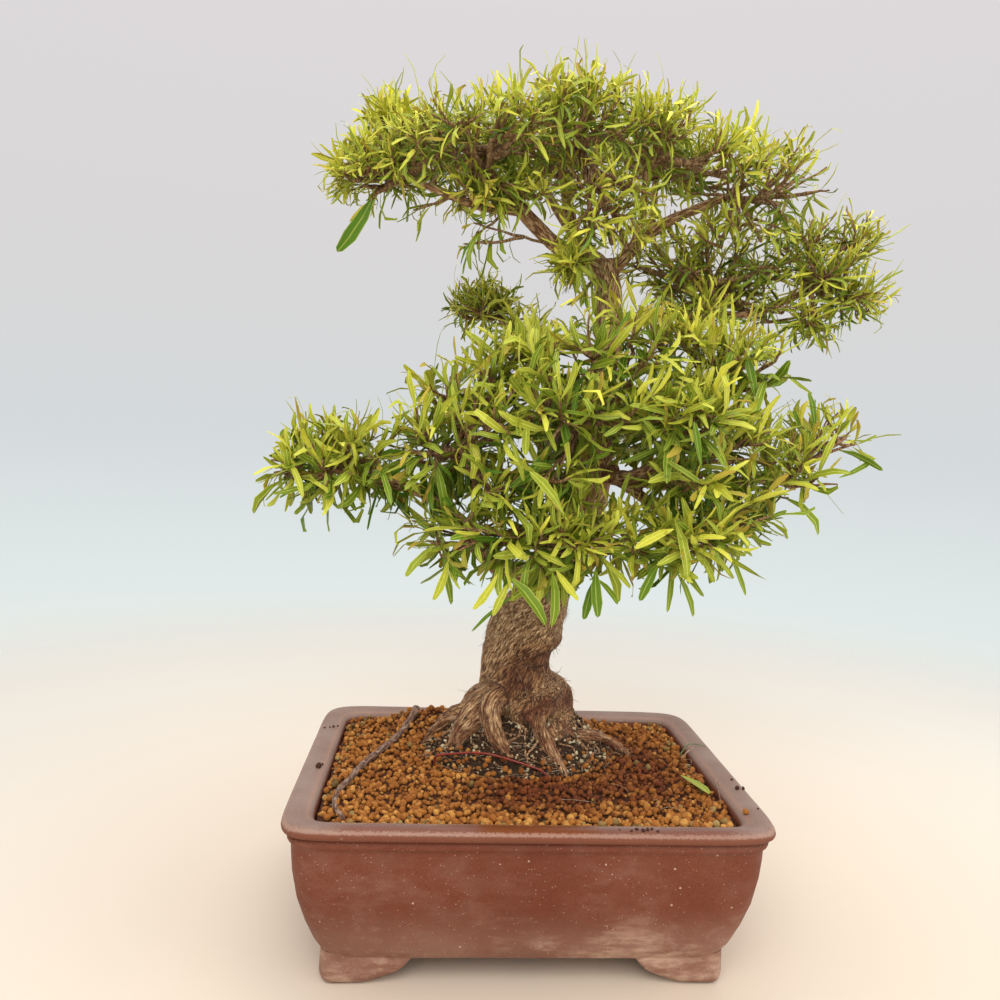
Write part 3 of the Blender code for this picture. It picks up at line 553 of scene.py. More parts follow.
def footShape(turnX, turnY):
    # bracket foot under one corner, rounded where it meets the ground, its ends cut in an ogee
    outline = smoothLine([(distance, rise, 0) for distance, rise in potForm["footOutline"]], 2)[:, :2]
    outline = np.maximum(outline, 0.0)
    spanX, spanY = potForm["footSpan"]
    bend, shorter = potForm["footRound"], potForm["footShorter"]
    places = [((spanX, spanY - bend - distance * shorter), rise, 180.0)
              for distance, rise in outline[:0:-1] if distance * shorter > 1]
    for turn in range(0, 91, 15):
        outwardX, outwardY = math.cos(math.radians(turn)), math.sin(math.radians(turn))
        places.append(((spanX - bend + bend * outwardX, spanY - bend + bend * outwardY), 0.0, 180.0 + turn))
    places += [((spanX - bend - distance, spanY), rise, 270.0)
               for distance, rise in outline[1:] if distance > 1]
    rings = []
    for outer, rise, facing in places:
        inward = np.array([math.cos(math.radians(facing)), math.sin(math.radians(facing))])
        thick = potForm["footThickness"] * (1.0 if facing in (180.0, 270.0) else 0.62)
        section = [(6.0, rise), (3.4, rise + 0.6), (1.5, rise + 2.0), (0.4, rise + 4.4), (0.0, rise + 7.4),
                   (0.5, 21.0), (thick, 21.0), (thick, rise + 0.8), (thick - 0.8, rise)]
        rings.append([[*(np.array(outer) + inward * inset), min(height, 21.0)] for inset, height in section])
    rings = np.array(rings) * mm * np.array([turnX, turnY, 1])
    if turnX * turnY < 0:
        rings = rings[:, ::-1]
    return loftShape(rings[:, ::-1])


def helperObject(name, points, faces):
    shapes = Shapes()
    shapes.add(points, faces)
    return placeObject(name, shapes.toMesh(name))


def applied(target):
    # the mesh that the modifiers give; the helper object goes
    mesh = bpy.data.meshes.new_from_object(target.evaluated_get(bpy.context.evaluated_depsgraph_get()))
    bpy.data.objects.remove(target, do_unlink=True)
    return mesh


def makeClay():
    material, clay, shader = startMaterial("firedClay", potLook["roughness"])
    shader.inputs["Specular IOR Level"].default_value = 0.25
    space = clay.space()
    x, y, z = clay.split(space)
    fine = clay.grain(space, 900.0, 0.8)
    tone = clay.plus(clay.times(clay.patches(space, 9.0, 0.5, 0.28), 0.55), clay.times(fine["Mask"], 0.38))
    body = clay.tones(tone, potLook["bodyDark"], potLook["body"], potLook["bodyPale"])
    # lime that has washed down and dried, thickest near the foot
    low = clay.fall(z, 0.020, 0.062)
    streaks = clay.patches(clay.scaled(space, (1.0, 1.0, 3.0)), 60.0, 0.52, 0.16)
    bloom = clay.times(clay.patches(space, 22.0, 0.54, 0.10), streaks, clay.plus(clay.times(low, 0.72), 0.10))
    haze = clay.plus(clay.times(clay.patches(space, 13.0, 0.45, 0.25), 0.6), 0.4)
    body = clay.mix(clay.plus(bloom, clay.times(haze, low, 0.42)), body, potLook["bloom"])
    # soft pale smudges and a few faint streaks in them
    swirl = clay.clouds(space, 34.0, Detail=6.0, Distortion=1.6)
    line = clay.fall(clay.maths("ABSOLUTE", clay.minus(swirl, 0.5)), 0.002, 0.030)
    smudge = clay.patches(clay.scaled(space, (1.0, 1.0, 1.7)), 46.0, 0.52, 0.16)
    streaked = clay.plus(clay.times(smudge, 0.10), clay.times(line, low, 0.22))
    body = clay.mix(clay.times(streaked, clay.patches(space, 17.0, 0.53, 0.12)), body, potLook["scuff"])
    for scale, share, size, strength in ((620.0, 0.13, 0.22, 0.35), (240.0, 0.045, 0.17, 0.60)):
        specks = clay.place(fineSpecks, Vector=space, Scale=scale, Share=share, Size=size)["Mask"]
        body = clay.mix(clay.times(specks, strength), body, potLook["speck"])
    # the lip and the rim's top
    facing = clay.split(clay.node("ShaderNodeNewGeometry").outputs["Normal"])[2]
    worn = clay.patches(space, 26.0, 0.5, 0.3)
    faded = clay.plus(clay.times(worn, 0.6), clay.times(fine["Mask"], 0.4))
    body = clay.mix(clay.times(clay.rise(z, 0.1008, 0.1020), 0.7), body, potLook["lip"])
    top = clay.times(clay.rise(z, 0.1010, 0.1045), clay.rise(facing, 0.25, 0.75))
    body = clay.mix(clay.times(top, 0.92), body, clay.mix(faded, potLook["rim"], potLook["rimPale"]))
    # the front of the rim is damp, and still wet in its middle
    front = clay.fall(y, potLow.y + 0.0180, potLow.y + 0.0200)
    outer = clay.fall(clay.plus(y, clay.times(worn, 0.004)), potLow.y + 0.0105, potLow.y + 0.0135)
    across = clay.times(clay.rise(x, potLow.x + 0.020, potLow.x + 0.045),
                        clay.fall(x, potHigh.x - 0.040, potHigh.x - 0.012))
    damp = clay.times(top, front, across)
    body = clay.mix(clay.times(damp, outer, 0.85), body, potLook["damp"])
    along = clay.times(clay.rise(x, potCentre[0] - 0.038, potCentre[0] - 0.028),
                       clay.fall(x, potCentre[0] + 0.022, potCentre[0] + 0.046))
    body = clay.mix(clay.times(damp, along, 0.90), body, potLook["wet"])
    # the dry outer edge, broken up a little
    level = clay.plus(z, clay.times(clay.minus(clay.clouds(space, 620.0), 0.5), 0.0026))
    dryEdge = clay.times(clay.rise(level, 0.1058, 0.1065), clay.fall(level, 0.1074, 0.1080),
                         clay.fall(facing, 0.90, 0.98))
    body = clay.mix(clay.times(dryEdge, 0.58), body, potLook["worn"])
    clay.feed(shader.inputs["Base Color"], body)
    dull = clay.plus(potLook["roughness"], clay.times(fine["Mask"], 0.15))
    shiny = clay.plus(clay.times(damp, 0.34), clay.times(top, worn, 0.20))
    clay.feed(shader.inputs["Roughness"], clay.minus(dull, shiny))
    clay.bump(shader, fine["Height"], 0.00035, 0.7)
    return material


def makePot():
    rings = [planRing(inset, height, exponent, potForm["perQuarter"])
             for part, exponent in zip(("outside", "inside"), potForm["corners"])
             for inset, height in potForm[part]]
    pot = helperObject("potHelper", *loftShape(rings))
    feet = bpy.data.collections.new("feet")
    holes = bpy.data.collections.new("holes")
    radius = potForm["drainRadius"] * mm
    for turnX in (-1, 1):
        for turnY in (-1, 1):
            feet.objects.link(helperObject("foot", *footShape(turnX, turnY)))
        middle = turnX * potForm["drainOffset"] * mm
        rings = [[[middle + radius * math.cos(angle), radius * math.sin(angle), height]
                  for angle in circle(48)]
                 for height in (0.010, 0.030)]
        holes.objects.link(helperObject("hole", *loftShape(rings)))
    for collection, operation in ((feet, "UNION"), (holes, "DIFFERENCE")):
        modifier = pot.modifiers.new(operation, "BOOLEAN")
        modifier.operation = operation
        modifier.operand_type = "COLLECTION"
        modifier.collection = collection
    mesh = applied(pot)
    for collection in (feet, holes):
        for tool in list(collection.objects):
            bpy.data.objects.remove(tool, do_unlink=True)
        bpy.data.collections.remove(collection)
    # hand-made unevenness of the walls, never outwards
    points = np.array([corner.co for corner in mesh.vertices])
    for number, point in enumerate(points):
        wave = noise.noise(Vector(point * 22)) * 0.0005 + noise.noise(Vector(point * 75)) * 0.00016
        inward = unit(np.array([point[0] / potWidth, point[1] / potDepth, 0.0])) * -abs(wave)
        if 0.004 < point[2] < 0.1085:
            points[number] = point + inward
    mesh.vertices.foreach_set("co", (points + potCentre).astype(np.float32).ravel())
    mesh.update()
    makePiece("clayPot", mesh, makeClay(), ["pot"], 38)


makePot()


# The wood

# Middle line of the trunk and its radius, in millimetres, as in the solids
trunkLine = [
    (4, 27, 92, 20), (3, 27, 112, 27), (2, 27, 128, 31), (1, 26, 142, 29), (-1, 25, 156, 27),
    (-2, 24, 168, 25), (-2, 24, 178, 24.5), (1, 23, 190, 26), (6, 22, 204, 25.5), (13, 20, 220, 21.5),
    (18, 19, 235, 18.5), (26, 18, 254, 17), (37, 20, 279, 15.5), (44, 24, 301, 15), (49, 28, 331, 12.5),
    (51, 32, 367, 10.5), (54, 30, 404, 9.5), (54, 27, 427, 9), (52, 25, 446, 9.5), (45, 22, 466, 8),
]
rootLines = {
    "coilUpper": ([(8, 40, 166), (15, 30, 161), (20, 16, 155), (18, 4, 150), (9, 0, 147), (-4, 4, 143)],
                  9.5, 10.5),
    "coilLower": ([(18, 38, 155), (29.5, 24, 152), (32, 11, 145), (28, 2, 135), (20, -3, 120), (17, -4, 100)],
                  9.5, 6.5),
    "left": ([(-8, 15, 156), (-22, 8, 148), (-32, 5, 139), (-39, 5, 128), (-43, 7, 116), (-50, 8, 104),
              (-54, 8, 94)], 13, 5),
    "frontA": ([(-8, 12, 156), (-20, 0, 149), (-21, -7, 138), (-17, -9, 127), (-9, -11, 117), (-3, -15, 107),
                (-1, -17, 96)], 9, 4),
    "frontB": ([(9, 10, 150), (11, -4, 143), (13, -9, 133), (18, -12, 124), (24, -15, 115), (30, -19, 104),
                (32, -21, 94)], 6.6, 3.2),
    "right": ([(14, 14, 128), (28, 4, 127), (40, 6, 125), (52, 11, 122), (66, 17, 117), (80, 22, 108),
               (90, 25, 97)], 6, 2.4),
    "rightFork": ([(44, 8, 124), (56, 20, 121), (68, 32, 114), (74, 38, 101)], 3.6, 2.4),
    "leftThin": ([(-30, 16, 143), (-46, 22, 133), (-57, 30, 121), (-66, 38, 106), (-69, 41, 97)], 7, 2.4),
    "backLeft": ([(-8, 38, 150), (-26, 52, 138), (-37, 62, 122), (-44, 69, 104), (-46, 72, 94)], 11, 4),
    "back": ([(4, 38, 150), (8, 56, 140), (12, 67, 124), (14, 75, 106), (15, 78, 95)], 12, 4),
    "backRight": ([(12, 36, 150), (25, 50, 136), (35, 60, 121), (44, 67, 105), (48, 70, 95)], 9, 3.6),
}
branchLines = {
    "topLeft": ([(44, 22, 464), (31, 16, 467), (19, 12, 468), (7, 8, 474), (-4, 4, 482), (-15, 0, 491),
                 (-27, -4, 500), (-38, -9, 512)], 7, 4),
    "topLeftLow": ([(-15, 0, 491), (-37, -8, 489), (-56, -12, 492), (-76, -14, 498), (-96, -12, 506)],
                   3.6, 2),
    "topLeftMid": ([(-27, -4, 500), (-50, 4, 511), (-68, 16, 522), (-76, 34, 532)], 3.4, 2),
    "crown": ([(42, 22, 462), (27, 26, 478), (20, 20, 498), (13, 2, 515), (10, -10, 525)], 6, 3),
    "crownBack": ([(23, 26, 486), (12, 42, 508), (4, 56, 530), (4, 64, 545)], 4, 2.4),
    "topRight": ([(48, 23, 452), (61, 22, 468), (78, 22, 486), (94, 20, 497), (112, 16, 505), (128, 10, 512)],
                 5.5, 3),
    "topRightFront": ([(66, 22, 472), (70, 8, 492), (68, -6, 510), (66, -14, 520)], 3.6, 2.4),
    "topRightBack": ([(78, 22, 486), (86, 44, 506), (90, 60, 528), (92, 66, 541)], 3.6, 2.4),
    "right": ([(53, 27, 423), (70, 32, 427), (88, 38, 430), (112, 45, 438), (132, 54, 450), (140, 62, 459)],
              6, 3),
    "rightOut": ([(122, 48, 442), (146, 47, 436), (172, 42, 440), (196, 38, 452), (208, 36, 458)], 3.6, 2.4),
    "leftSmall": ([(53, 30, 402), (36, 46, 406), (20, 64, 411), (2, 78, 416), (-16, 90, 426), (-24, 94, 434)],
                  4, 2),
    "lowLeft": ([(19, 19, 236), (-4, 2, 240), (-24, -12, 250), (-42, -24, 268), (-56, -32, 285),
                 (-70, -38, 297), (-92, -40, 304), (-110, -40, 306), (-126, -38, 312)], 8, 3),
    "midLeft": ([(43, 24, 299), (21, 6, 302), (-2, -12, 306), (-20, -26, 311), (-40, -36, 318),
                (-58, -44, 324)], 6, 3),
    "midFront": ([(50, 29, 347), (38, 6, 354), (26, -18, 358), (16, -40, 357), (12, -52, 355)], 6, 3),
    "rightFront": ([(46, 26, 318), (52, 6, 314), (61, -14, 312), (72, -34, 318), (82, -48, 330)], 7, 3.4),
    "rightLow": ([(58, -8, 312), (72, -24, 301), (84, -38, 292), (90, -46, 287)], 4.4, 3),
    "rightFar": ([(60, -12, 313), (86, -22, 310), (112, -26, 310), (140, -26, 314), (162, -26, 318)], 5, 3),
    "lowFront": ([(30, 18, 264), (24, -2, 264), (16, -24, 266), (8, -44, 270)], 6, 3),
    "back": ([(50, 30, 345), (56, 56, 346), (60, 80, 349), (61, 98, 351)], 6, 3.4),
}
woodForm = {
    "voxel": 0.0015, "smoothing": 3, "flutes": 3, "fluteDepth": 0.055, "fluteTwist": 26.0, "twist": 20.0,
    "fibreDepth": 0.00030, "fibreWidth": 0.0020, "fibreStretch": 0.22, "lumpDepth": 0.0016, "lumpSize": 0.019,
    # on the trunk, roots, branches and coils
    "knobDepth": (0.00045, 0.0011, 0.0003, 0.0009), "knobSize": 0.0062,
    "foldShade": 2.3,
}
# Folds in the trunk's skin, in millimetres: points along the fold, width and depth; below zero it swells
foldLines = [
    ([(30, 22, 179), (25, 9, 179), (17, 2, 178), (8, -1, 175), (1, -2, 170), (-5, -2, 163)], 5.8, 6.5),
    ([(5.7, -10, 142.7), (13.8, -10, 148), (23.5, -7.5, 150.5), (33, 2, 151.5), (40, 12, 152.5)], 3.0, 4.6),
    ([(32, 18, 192), (26, 4, 191), (17, -6, 189), (6, -9, 185), (-5, -7, 177), (-12, -4, 166)], 9.0, -2.0),
]
woodLook = {
    "dark": (0.062, 0.020, 0.007), "middle": (0.425, 0.220, 0.088), "light": (0.880, 0.625, 0.350),
    "root": (0.290, 0.092, 0.042), "roughness": 0.85,
}


def linesOfWood():
    # every line with its radii and kind: 0 the trunk, 1 a root, 2 a branch, 3 a coil laid on the trunk
    smooth = smoothLine(trunkLine, 5)
    lines = [(toFrame(smooth[:, :3]), smooth[:, 3] * mm, 0)]
    for table, kind in ((rootLines, 1), (branchLines, 2)):
        for name, (points, first, last) in table.items():
            smooth = smoothLine(points, 5)
            radii = first + (last - first) * np.linspace(0, 1, len(smooth))
            lines.append((toFrame(smooth), radii * mm, 3 if "coil" in name else kind))
    return lines


def flutedTrunk(line, radii):
    flute = 1 + woodForm["fluteDepth"] * np.cos(woodForm["flutes"] * circle(48)[None]
                                                + woodForm["fluteTwist"] * line[:, 2:3])
    return loftShape(ringsAlong(line, radii[:, None] * flute, 48)[0])


def barkSpace(points, lines):
    # each point in the space of the nearest line, as if the wood were straight and untwisted; and that radius
    parts = []
    for number, (line, lineRadii, kind) in enumerate(lines):
        if kind == 3:
            continue
        tangents, sideA, sideB = alongFrames(line)
        travelled = lengthsAlong(line)
        turn = woodForm["twist"] * travelled * (1 if kind < 2 else 0.5)
        cosine, sine = np.cos(turn)[:, None], np.sin(turn)[:, None]
        parts.append((line, cosine * sideA + sine * sideB, cosine * sideB - sine * sideA,
                      travelled + number * 0.37, lineRadii, np.full(len(line), kind)))
    centres, sidesA, sidesB, lengths, radii, kinds = (np.concatenate(part) for part in zip(*parts))
    nearest = np.empty(len(points), int)
    for start in range(0, len(points), 4000):
        away = np.linalg.norm(points[start:start + 4000, None] - centres[None], axis=2) - radii[None]
        nearest[start:start + 4000] = away.argmin(1)
    offset = points - centres[nearest]
    sidesA, sidesB = sidesA[nearest], sidesB[nearest]
    axes = (sidesA, sidesB, np.cross(sidesA, sidesB))
    space = np.stack([np.einsum("ij,ij->i", offset, axis) for axis in axes], -1)
    space[:, 2] += lengths[nearest]
    return space, radii[nearest], kinds[nearest]


def noiseAt(points, scale):
    return np.array([noise.noise(Vector(point)) for point in points * scale])


def makeBark(name, look):
    material, bark, shader = startMaterial(name, look["roughness"])
    along = bark.attribute("barkSpace")["Vector"]
    place = bark.space()
    fibres = bark.grain(bark.scaled(along, (1.0, 1.0, 0.17)), 1150.0, 0.4)
    cracks = bark.patches(bark.scaled(along, (1.0, 1.0, 0.22)), 760.0, 0.47, 0.05)
    tone = bark.plus(bark.times(fibres["Mask"], 0.46), bark.times(bark.patches(place, 55.0, 0.5, 0.25), 0.16))
    tone = bark.plus(tone, bark.times(cracks, 0.40))
    # painted shade of the wood's grooves, dips, folds and left side, and the scar's dark rings, darken the
    # tone
    tone = bark.minus(tone, bark.times(bark.attribute("barkHollow")["Fac"], 0.50), clamp=True)
    colour = bark.tones(tone, look["dark"], look["middle"], look["light"])
    patchy = bark.plus(0.25, bark.times(bark.patches(place, 120.0, 0.5, 0.12), 0.5))
    reddish = bark.times(bark.attribute("barkRed")["Fac"], patchy)
    bark.feed(shader.inputs["Base Color"], bark.mix(reddish, colour, look["root"]))
    bark.bump(shader, bark.plus(fibres["Height"], bark.times(cracks, 0.7)), 0.0016)
    return material


def makeWood():
    lines = linesOfWood()
    helper = Shapes()
    for line, radii, kind in lines:
        helper.add(*(flutedTrunk(line, radii) if kind == 0 else tubeShape(line, radii, 16)))
    wood = placeObject("woodHelper", helper.toMesh("woodHelper"))
    remesh = wood.modifiers.new("Remesh", "REMESH")
    remesh.mode = "VOXEL"
    remesh.voxel_size = woodForm["voxel"]
    relax = wood.modifiers.new("Smooth", "SMOOTH")
    relax.factor = 0.5
    relax.iterations = woodForm["smoothing"]
    mesh = applied(wood)
    count = len(mesh.vertices)
    points, normals = np.empty(count * 3, np.float32), np.empty(count * 3, np.float32)
    mesh.vertices.foreach_get("co", points)
    mesh.vertex_normals.foreach_get("vector", normals)
    points, normals = points.reshape(-1, 3).astype(float), normals.reshape(-1, 3).astype(float)
    # fibres, lumps and knobs
    space, radii, kinds = barkSpace(points, lines)
    stretched = space * np.array([1.0, 1.0, woodForm["fibreStretch"]])
    fibre = noiseAt(stretched, 1 / woodForm["fibreWidth"])
    fibre += 0.5 * noiseAt(stretched, 2.1 / woodForm["fibreWidth"])
    lump = noiseAt(points, 1 / woodForm["lumpSize"])
    strength = np.clip(radii / 0.020, 0.10, 1.0)
    knobs = noiseAt(points, 1 / woodForm["knobSize"]) * np.array(woodForm["knobDepth"])[kinds]
    raised = strength * (fibre * woodForm["fibreDepth"] + lump * woodForm["lumpDepth"]) + knobs
    moved = points + normals * raised[:, None]
    # dark gathers painted shade along the sunken folds of the trunk
    dark = np.zeros(count)
    for line, width, depth in foldLines:
        line = toFrame(smoothLine(line, 6))
        away = np.linalg.norm(points[:, None] - line[None], axis=2).min(1) / (width * mm)
        moved -= normals * (np.exp(-away**2) * depth * mm)[:, None]
        if depth > 0:
            dark += np.exp(-(away / woodForm["foldShade"]) ** 2)
    mesh.vertices.foreach_set("co", moved.astype(np.float32).ravel())
    height = (points[:, 2] - 0.10) / 0.06
    # the painted shade of the folds is also reddish
    red = np.clip(np.where(kinds == 1, 1.10 - height, np.where(kinds == 2, 0.30, 0.0)) + dark * 0.60, 0, 1)
    # painted shade: the spaces between the fibres of the roots, the sunken fibres and knobs, the trunk's left
    # side and its folds are darker
    fibreGapShade = np.clip(-noiseAt(space * np.array([1.0, 1.0, 0.12]), 1 / 0.0028) * 2.4, 0, 1) * (kinds == 1)
    leftSideShade = np.clip((toFrame((-18, 0, 0))[0] - points[:, 0]) / 0.012, 0, 1) * (kinds == 0) * 0.28
    darkAndShade = np.clip(-fibre * 0.62 - knobs * 420 + dark * 1.35 + fibreGapShade + leftSideShade, 0, 1)
    writeValues(mesh, {"barkSpace": space, "barkRed": red, "barkHollow": darkAndShade})
    mesh.update()
    return makePiece("trunkAndBranches", mesh, makeBark("figBark", woodLook), ["trunk_and_branches"])


barkDetail = {
    "scarPlace": (46, -12, 321),
    "scarRings": [(7.0, -3.0), (7.6, -1.4), (6.6, 0.6), (5.4, 1.4), (4.3, 0.5), (3.5, 0.9), (2.6, 0.2),
                  (1.8, 0.6), (0.9, 0.0)],
    "strands": 1300, "strandLength": (2.5, 8.0), "strandRadius": 0.20, "reach": (98, 250), "seed": 51,
}
strandLook = {
    "dark": (0.180, 0.090, 0.045), "middle": (0.520, 0.360, 0.220), "light": (0.900, 0.740, 0.540),
    "root": (0.420, 0.200, 0.110), "roughness": 0.85,
}


def makeScar():
    # where a branch was cut off: a collar of bark round rings of wood
    place, normal, _, _ = woodTree.find_nearest(Vector(toFrame(barkDetail["scarPlace"])))
    sideA = np.array(normal.orthogonal().normalized())
    sideB = np.cross(normal, sideA)
    angles = circle(28)
    flat = np.cos(angles)[:, None] * sideA + np.sin(angles)[:, None] * sideB
    rings = []
    for reach, rise in barkDetail["scarRings"]:
        uneven = reach * (1 + 0.05 * np.sin(angles * 3 + reach)) * mm
        rings.append(np.array(place) + flat * uneven[:, None] + np.array(normal) * rise * mm)
    shapes = Shapes()
    shapes.addBark(loftShape(rings), 0.8, np.repeat(np.arange(len(rings)) % 2, len(angles)) * 0.7)
    makePiece("pruningScar", shapes, makeBark("scarWood", woodLook))


def makeStrands():
    # loose fibres lying on the bark of the trunk and the roots
    rng = np.random.default_rng(barkDetail["seed"])
    low, high = barkDetail["reach"]
    corners = [corner for corner in wood.data.vertices if low * mm < corner.co.z < high * mm]
    downwards = np.array([0.35, 0.0, -1.0])
    radii = np.array([1.0, 0.8, 0.4]) * barkDetail["strandRadius"] * mm
    shapes = Shapes()
    for pick in rng.integers(0, len(corners), barkDetail["strands"]):
        place, normal = np.array(corners[pick].co), np.array(corners[pick].normal)
        down = unit(downwards - normal * normal.dot(downwards) + rng.normal(0, 0.35, 3))
        length = rng.uniform(*barkDetail["strandLength"]) * mm
        lift = rng.uniform(0.05, 0.35)
        line = np.array([place - normal * 0.0002, place + down * length * 0.5 + normal * lift * mm,
                         place + down * length + normal * rng.uniform(-0.2, 1.3) * lift * length])
        shapes.addBark(tubeShape(line, radii, 3), rng.uniform(0, 0.9))
    makePiece("barkStrands", shapes, makeBark("strandSkin", strandLook))


wood = makeWood()
woodTree = BVHTree.FromPolygons([corner.co for corner in wood.data.vertices],
                                [tuple(face.vertices) for face in wood.data.polygons])
makeScar()
makeStrands()
print("wood is up")


# Granule bed and root ball

bedForm = {
    "edge": 101.5, "mound": 4.5, "moundReach": (95, 75), "cells": (72, 54), "wall": 19.6, "surfaceWall": 19.9,
    "grainSize": (2.2, 5.2), "frontExtra": 1.0, "pitch": 3.9, "upperShare": 0.32,
    "coarseFrom": 3.7, "seed": 7,
    "ballCentre": (2, 26), "ballHalf": (70, 54), "ballEdge": 104.5, "ballRise": 30, "ballCrest": 15,
    "ballBits": 2600, "bitShares": (0.56, 0.23, 0.21),  # humus, chips of bark and white grit
    # heaps on the bed: middle, reach and height; wet patches: middle and reach
    "heaps": [((-62, 84), (38, 24), 13), ((52, 82), (40, 22), 4), ((-122, -10), (16, 80), 3)],
    "wetPatches": [((12, -48), (62, 30)), ((88, 6), (34, 60))],
    "wallTop": 107.0, "restSlope": 0.8,
}
bedHalf = (potWidth / mm / 2 - bedForm["wall"], potDepth / mm / 2 - bedForm["wall"])
fallenLeaf = {"root": (112.2, -19.5, 106.2), "tip": (123.9, -47.7, 106.8), "width": 11.0}
bedLook = {
    "dry": ((0.195, 0.060, 0.007), (0.425, 0.146, 0.018), (0.790, 0.420, 0.100)),
    "wet": ((0.080, 0.014, 0.002), (0.188, 0.042, 0.004), (0.335, 0.098, 0.011)),
    "olive": ((0.105, 0.060, 0.012), (0.270, 0.165, 0.042), (0.490, 0.340, 0.125)),
    # the bed seen between the granules: dark tones that are painted shade
    "between": ((0.035, 0.013, 0.005), (0.060, 0.022, 0.006), (0.150, 0.060, 0.020)),
    "humus": ((0.012, 0.006, 0.002), (0.048, 0.022, 0.008), (0.160, 0.082, 0.034)),
    "chips": ((0.100, 0.040, 0.016), (0.260, 0.120, 0.050), (0.460, 0.260, 0.130)),
    "rimDirt": ((0.020, 0.007, 0.004), (0.070, 0.022, 0.012), (0.150, 0.060, 0.032)),
    "perlite": ((0.280, 0.200, 0.095), (0.540, 0.430, 0.240), (0.880, 0.790, 0.560)),
}


def hump(x, y, middle, reach):
    # one in the middle, falling smoothly to nothing
    return np.exp(-((x - middle[0]) / reach[0]) ** 2 - ((y - middle[1]) / reach[1]) ** 2)


def bedHeight(x, y):
    # height of the bed in millimetres at a place in millimetres round the pot's centre
    centre, reach = bedForm["ballCentre"], bedForm["moundReach"]
    away = ((x - centre[0]) / reach[0]) ** 2 + ((y - centre[1]) / reach[1]) ** 2
    height = bedForm["edge"] + bedForm["mound"] * np.exp(-away**2)
    for middle, reach, rise in bedForm["heaps"]:
        height = height + rise * hump(x, y, middle, reach)
    # grains near the wall lie no higher than they would rest
    toWall = np.minimum(bedHalf[0] - np.abs(x), bedHalf[1] - np.abs(y))
    return np.minimum(height, bedForm["wallTop"] + bedForm["restSlope"] * toWall)


def onBall(share, angle):
    # a place on the root ball from its share of the half size and its angle
    centre, half = bedForm["ballCentre"], bedForm["ballHalf"]
    return centre[0] + half[0] * share * np.cos(angle), centre[1] + half[1] * share * np.sin(angle)


def ballShare(x, y):
    # distance from the root ball's middle as a share of its half size
    centre, half = bedForm["ballCentre"], bedForm["ballHalf"]
    return np.sqrt(((x - centre[0]) / half[0]) ** 2 + ((y - centre[1]) / half[1]) ** 2)


def ballHeight(x, y):
    share = ballShare(x, y)
    crest = bedForm["ballCrest"] * np.exp(-(share / 0.72) ** 4)
    return bedForm["ballEdge"] + bedForm["ballRise"] * (1 - share**2) + crest


def makeEarth(name, tones, roughness, grainScale):
    # earthTone holds each grain's lightness and its kind, the number of its row of tones
    material, earth, shader = startMaterial(name, roughness)
    tone, kind, _ = earth.split(earth.attribute("earthTone")["Vector"])
    grain = earth.grain(earth.space(), grainScale, 0.6)
    factor = earth.plus(earth.times(tone, 0.72), earth.times(grain["Mask"], 0.30), clamp=True)
    colour = earth.tones(factor, *tones[0])
    for number, row in enumerate(tones[1:], 1):
        colour = earth.mix(earth.rise(kind, number - 1.0, float(number)), colour, earth.tones(factor, *row))
    earth.feed(shader.inputs["Base Color"], colour)
    earth.bump(shader, grain["Height"], 0.0009)
    return material


def granulePlaces(rng):
    # jittered rows of granules inside the pot's wall and outside the root ball
    halfX, halfY = bedHalf
    pitch = bedForm["pitch"]
    rows = []
    for row, y in enumerate(np.arange(-halfY, halfY, pitch * 0.87)):
        for x in np.arange(-halfX + (row % 2) * pitch / 2, halfX, pitch):
            rows.append((x, y))
    places = np.array(rows) + rng.uniform(-0.9, 0.9, (len(rows), 2))
    sizes = rng.uniform(*bedForm["grainSize"], len(places))
    sizes += bedForm["frontExtra"] * np.clip((-places[:, 1] - 70) / 20, 0, 1)
    upper = rng.random(len(places)) < bedForm["upperShare"]
    lift = np.where(upper, rng.uniform(1.2, 2.4, len(places)), rng.uniform(-1.0, 0.4, len(places)))
    x, y = places.T
    share = ballShare(x, y)
    reach = np.abs(x / (halfX - sizes / 2 + 0.5)) ** 22 + np.abs(y / (halfY - sizes / 2 + 0.5)) ** 22
    keep = (reach < 1) & (share > 0.93 + rng.uniform(-0.12, 0.04, len(places)))
    heights = np.maximum(bedHeight(x, y), np.where(share < 1, ballHeight(x, y), 0)) + lift
    return np.column_stack([x, y, heights])[keep], sizes[keep]


def granuleKinds(places, rng):
    # 0 dry, 1 wet, 2 olive: a wet patch in front of and right of the root ball, olive grains at the edges
    x, y = places[:, 0], places[:, 1]
    wetness = sum(hump(x, y, middle, reach) for middle, reach in bedForm["wetPatches"])
    wet = np.clip(wetness * 1.4 - 0.35 + rng.normal(0, 0.20, len(x)), 0, 1)
    edge = np.maximum(np.abs(x) / 130, np.abs(y) / 95)
    olive = rng.random(len(x)) < np.clip((edge - 0.86) * 1.8, 0.006, 0.22)
    return np.where(olive, 2.0, wet)


def isClearOfWood(place, size):
    found, normal, _, away = woodTree.find_nearest(Vector(place), 0.02)
    return found is None or ((Vector(place) - found).dot(normal) >= 0 and away > size * mm * 0.32)


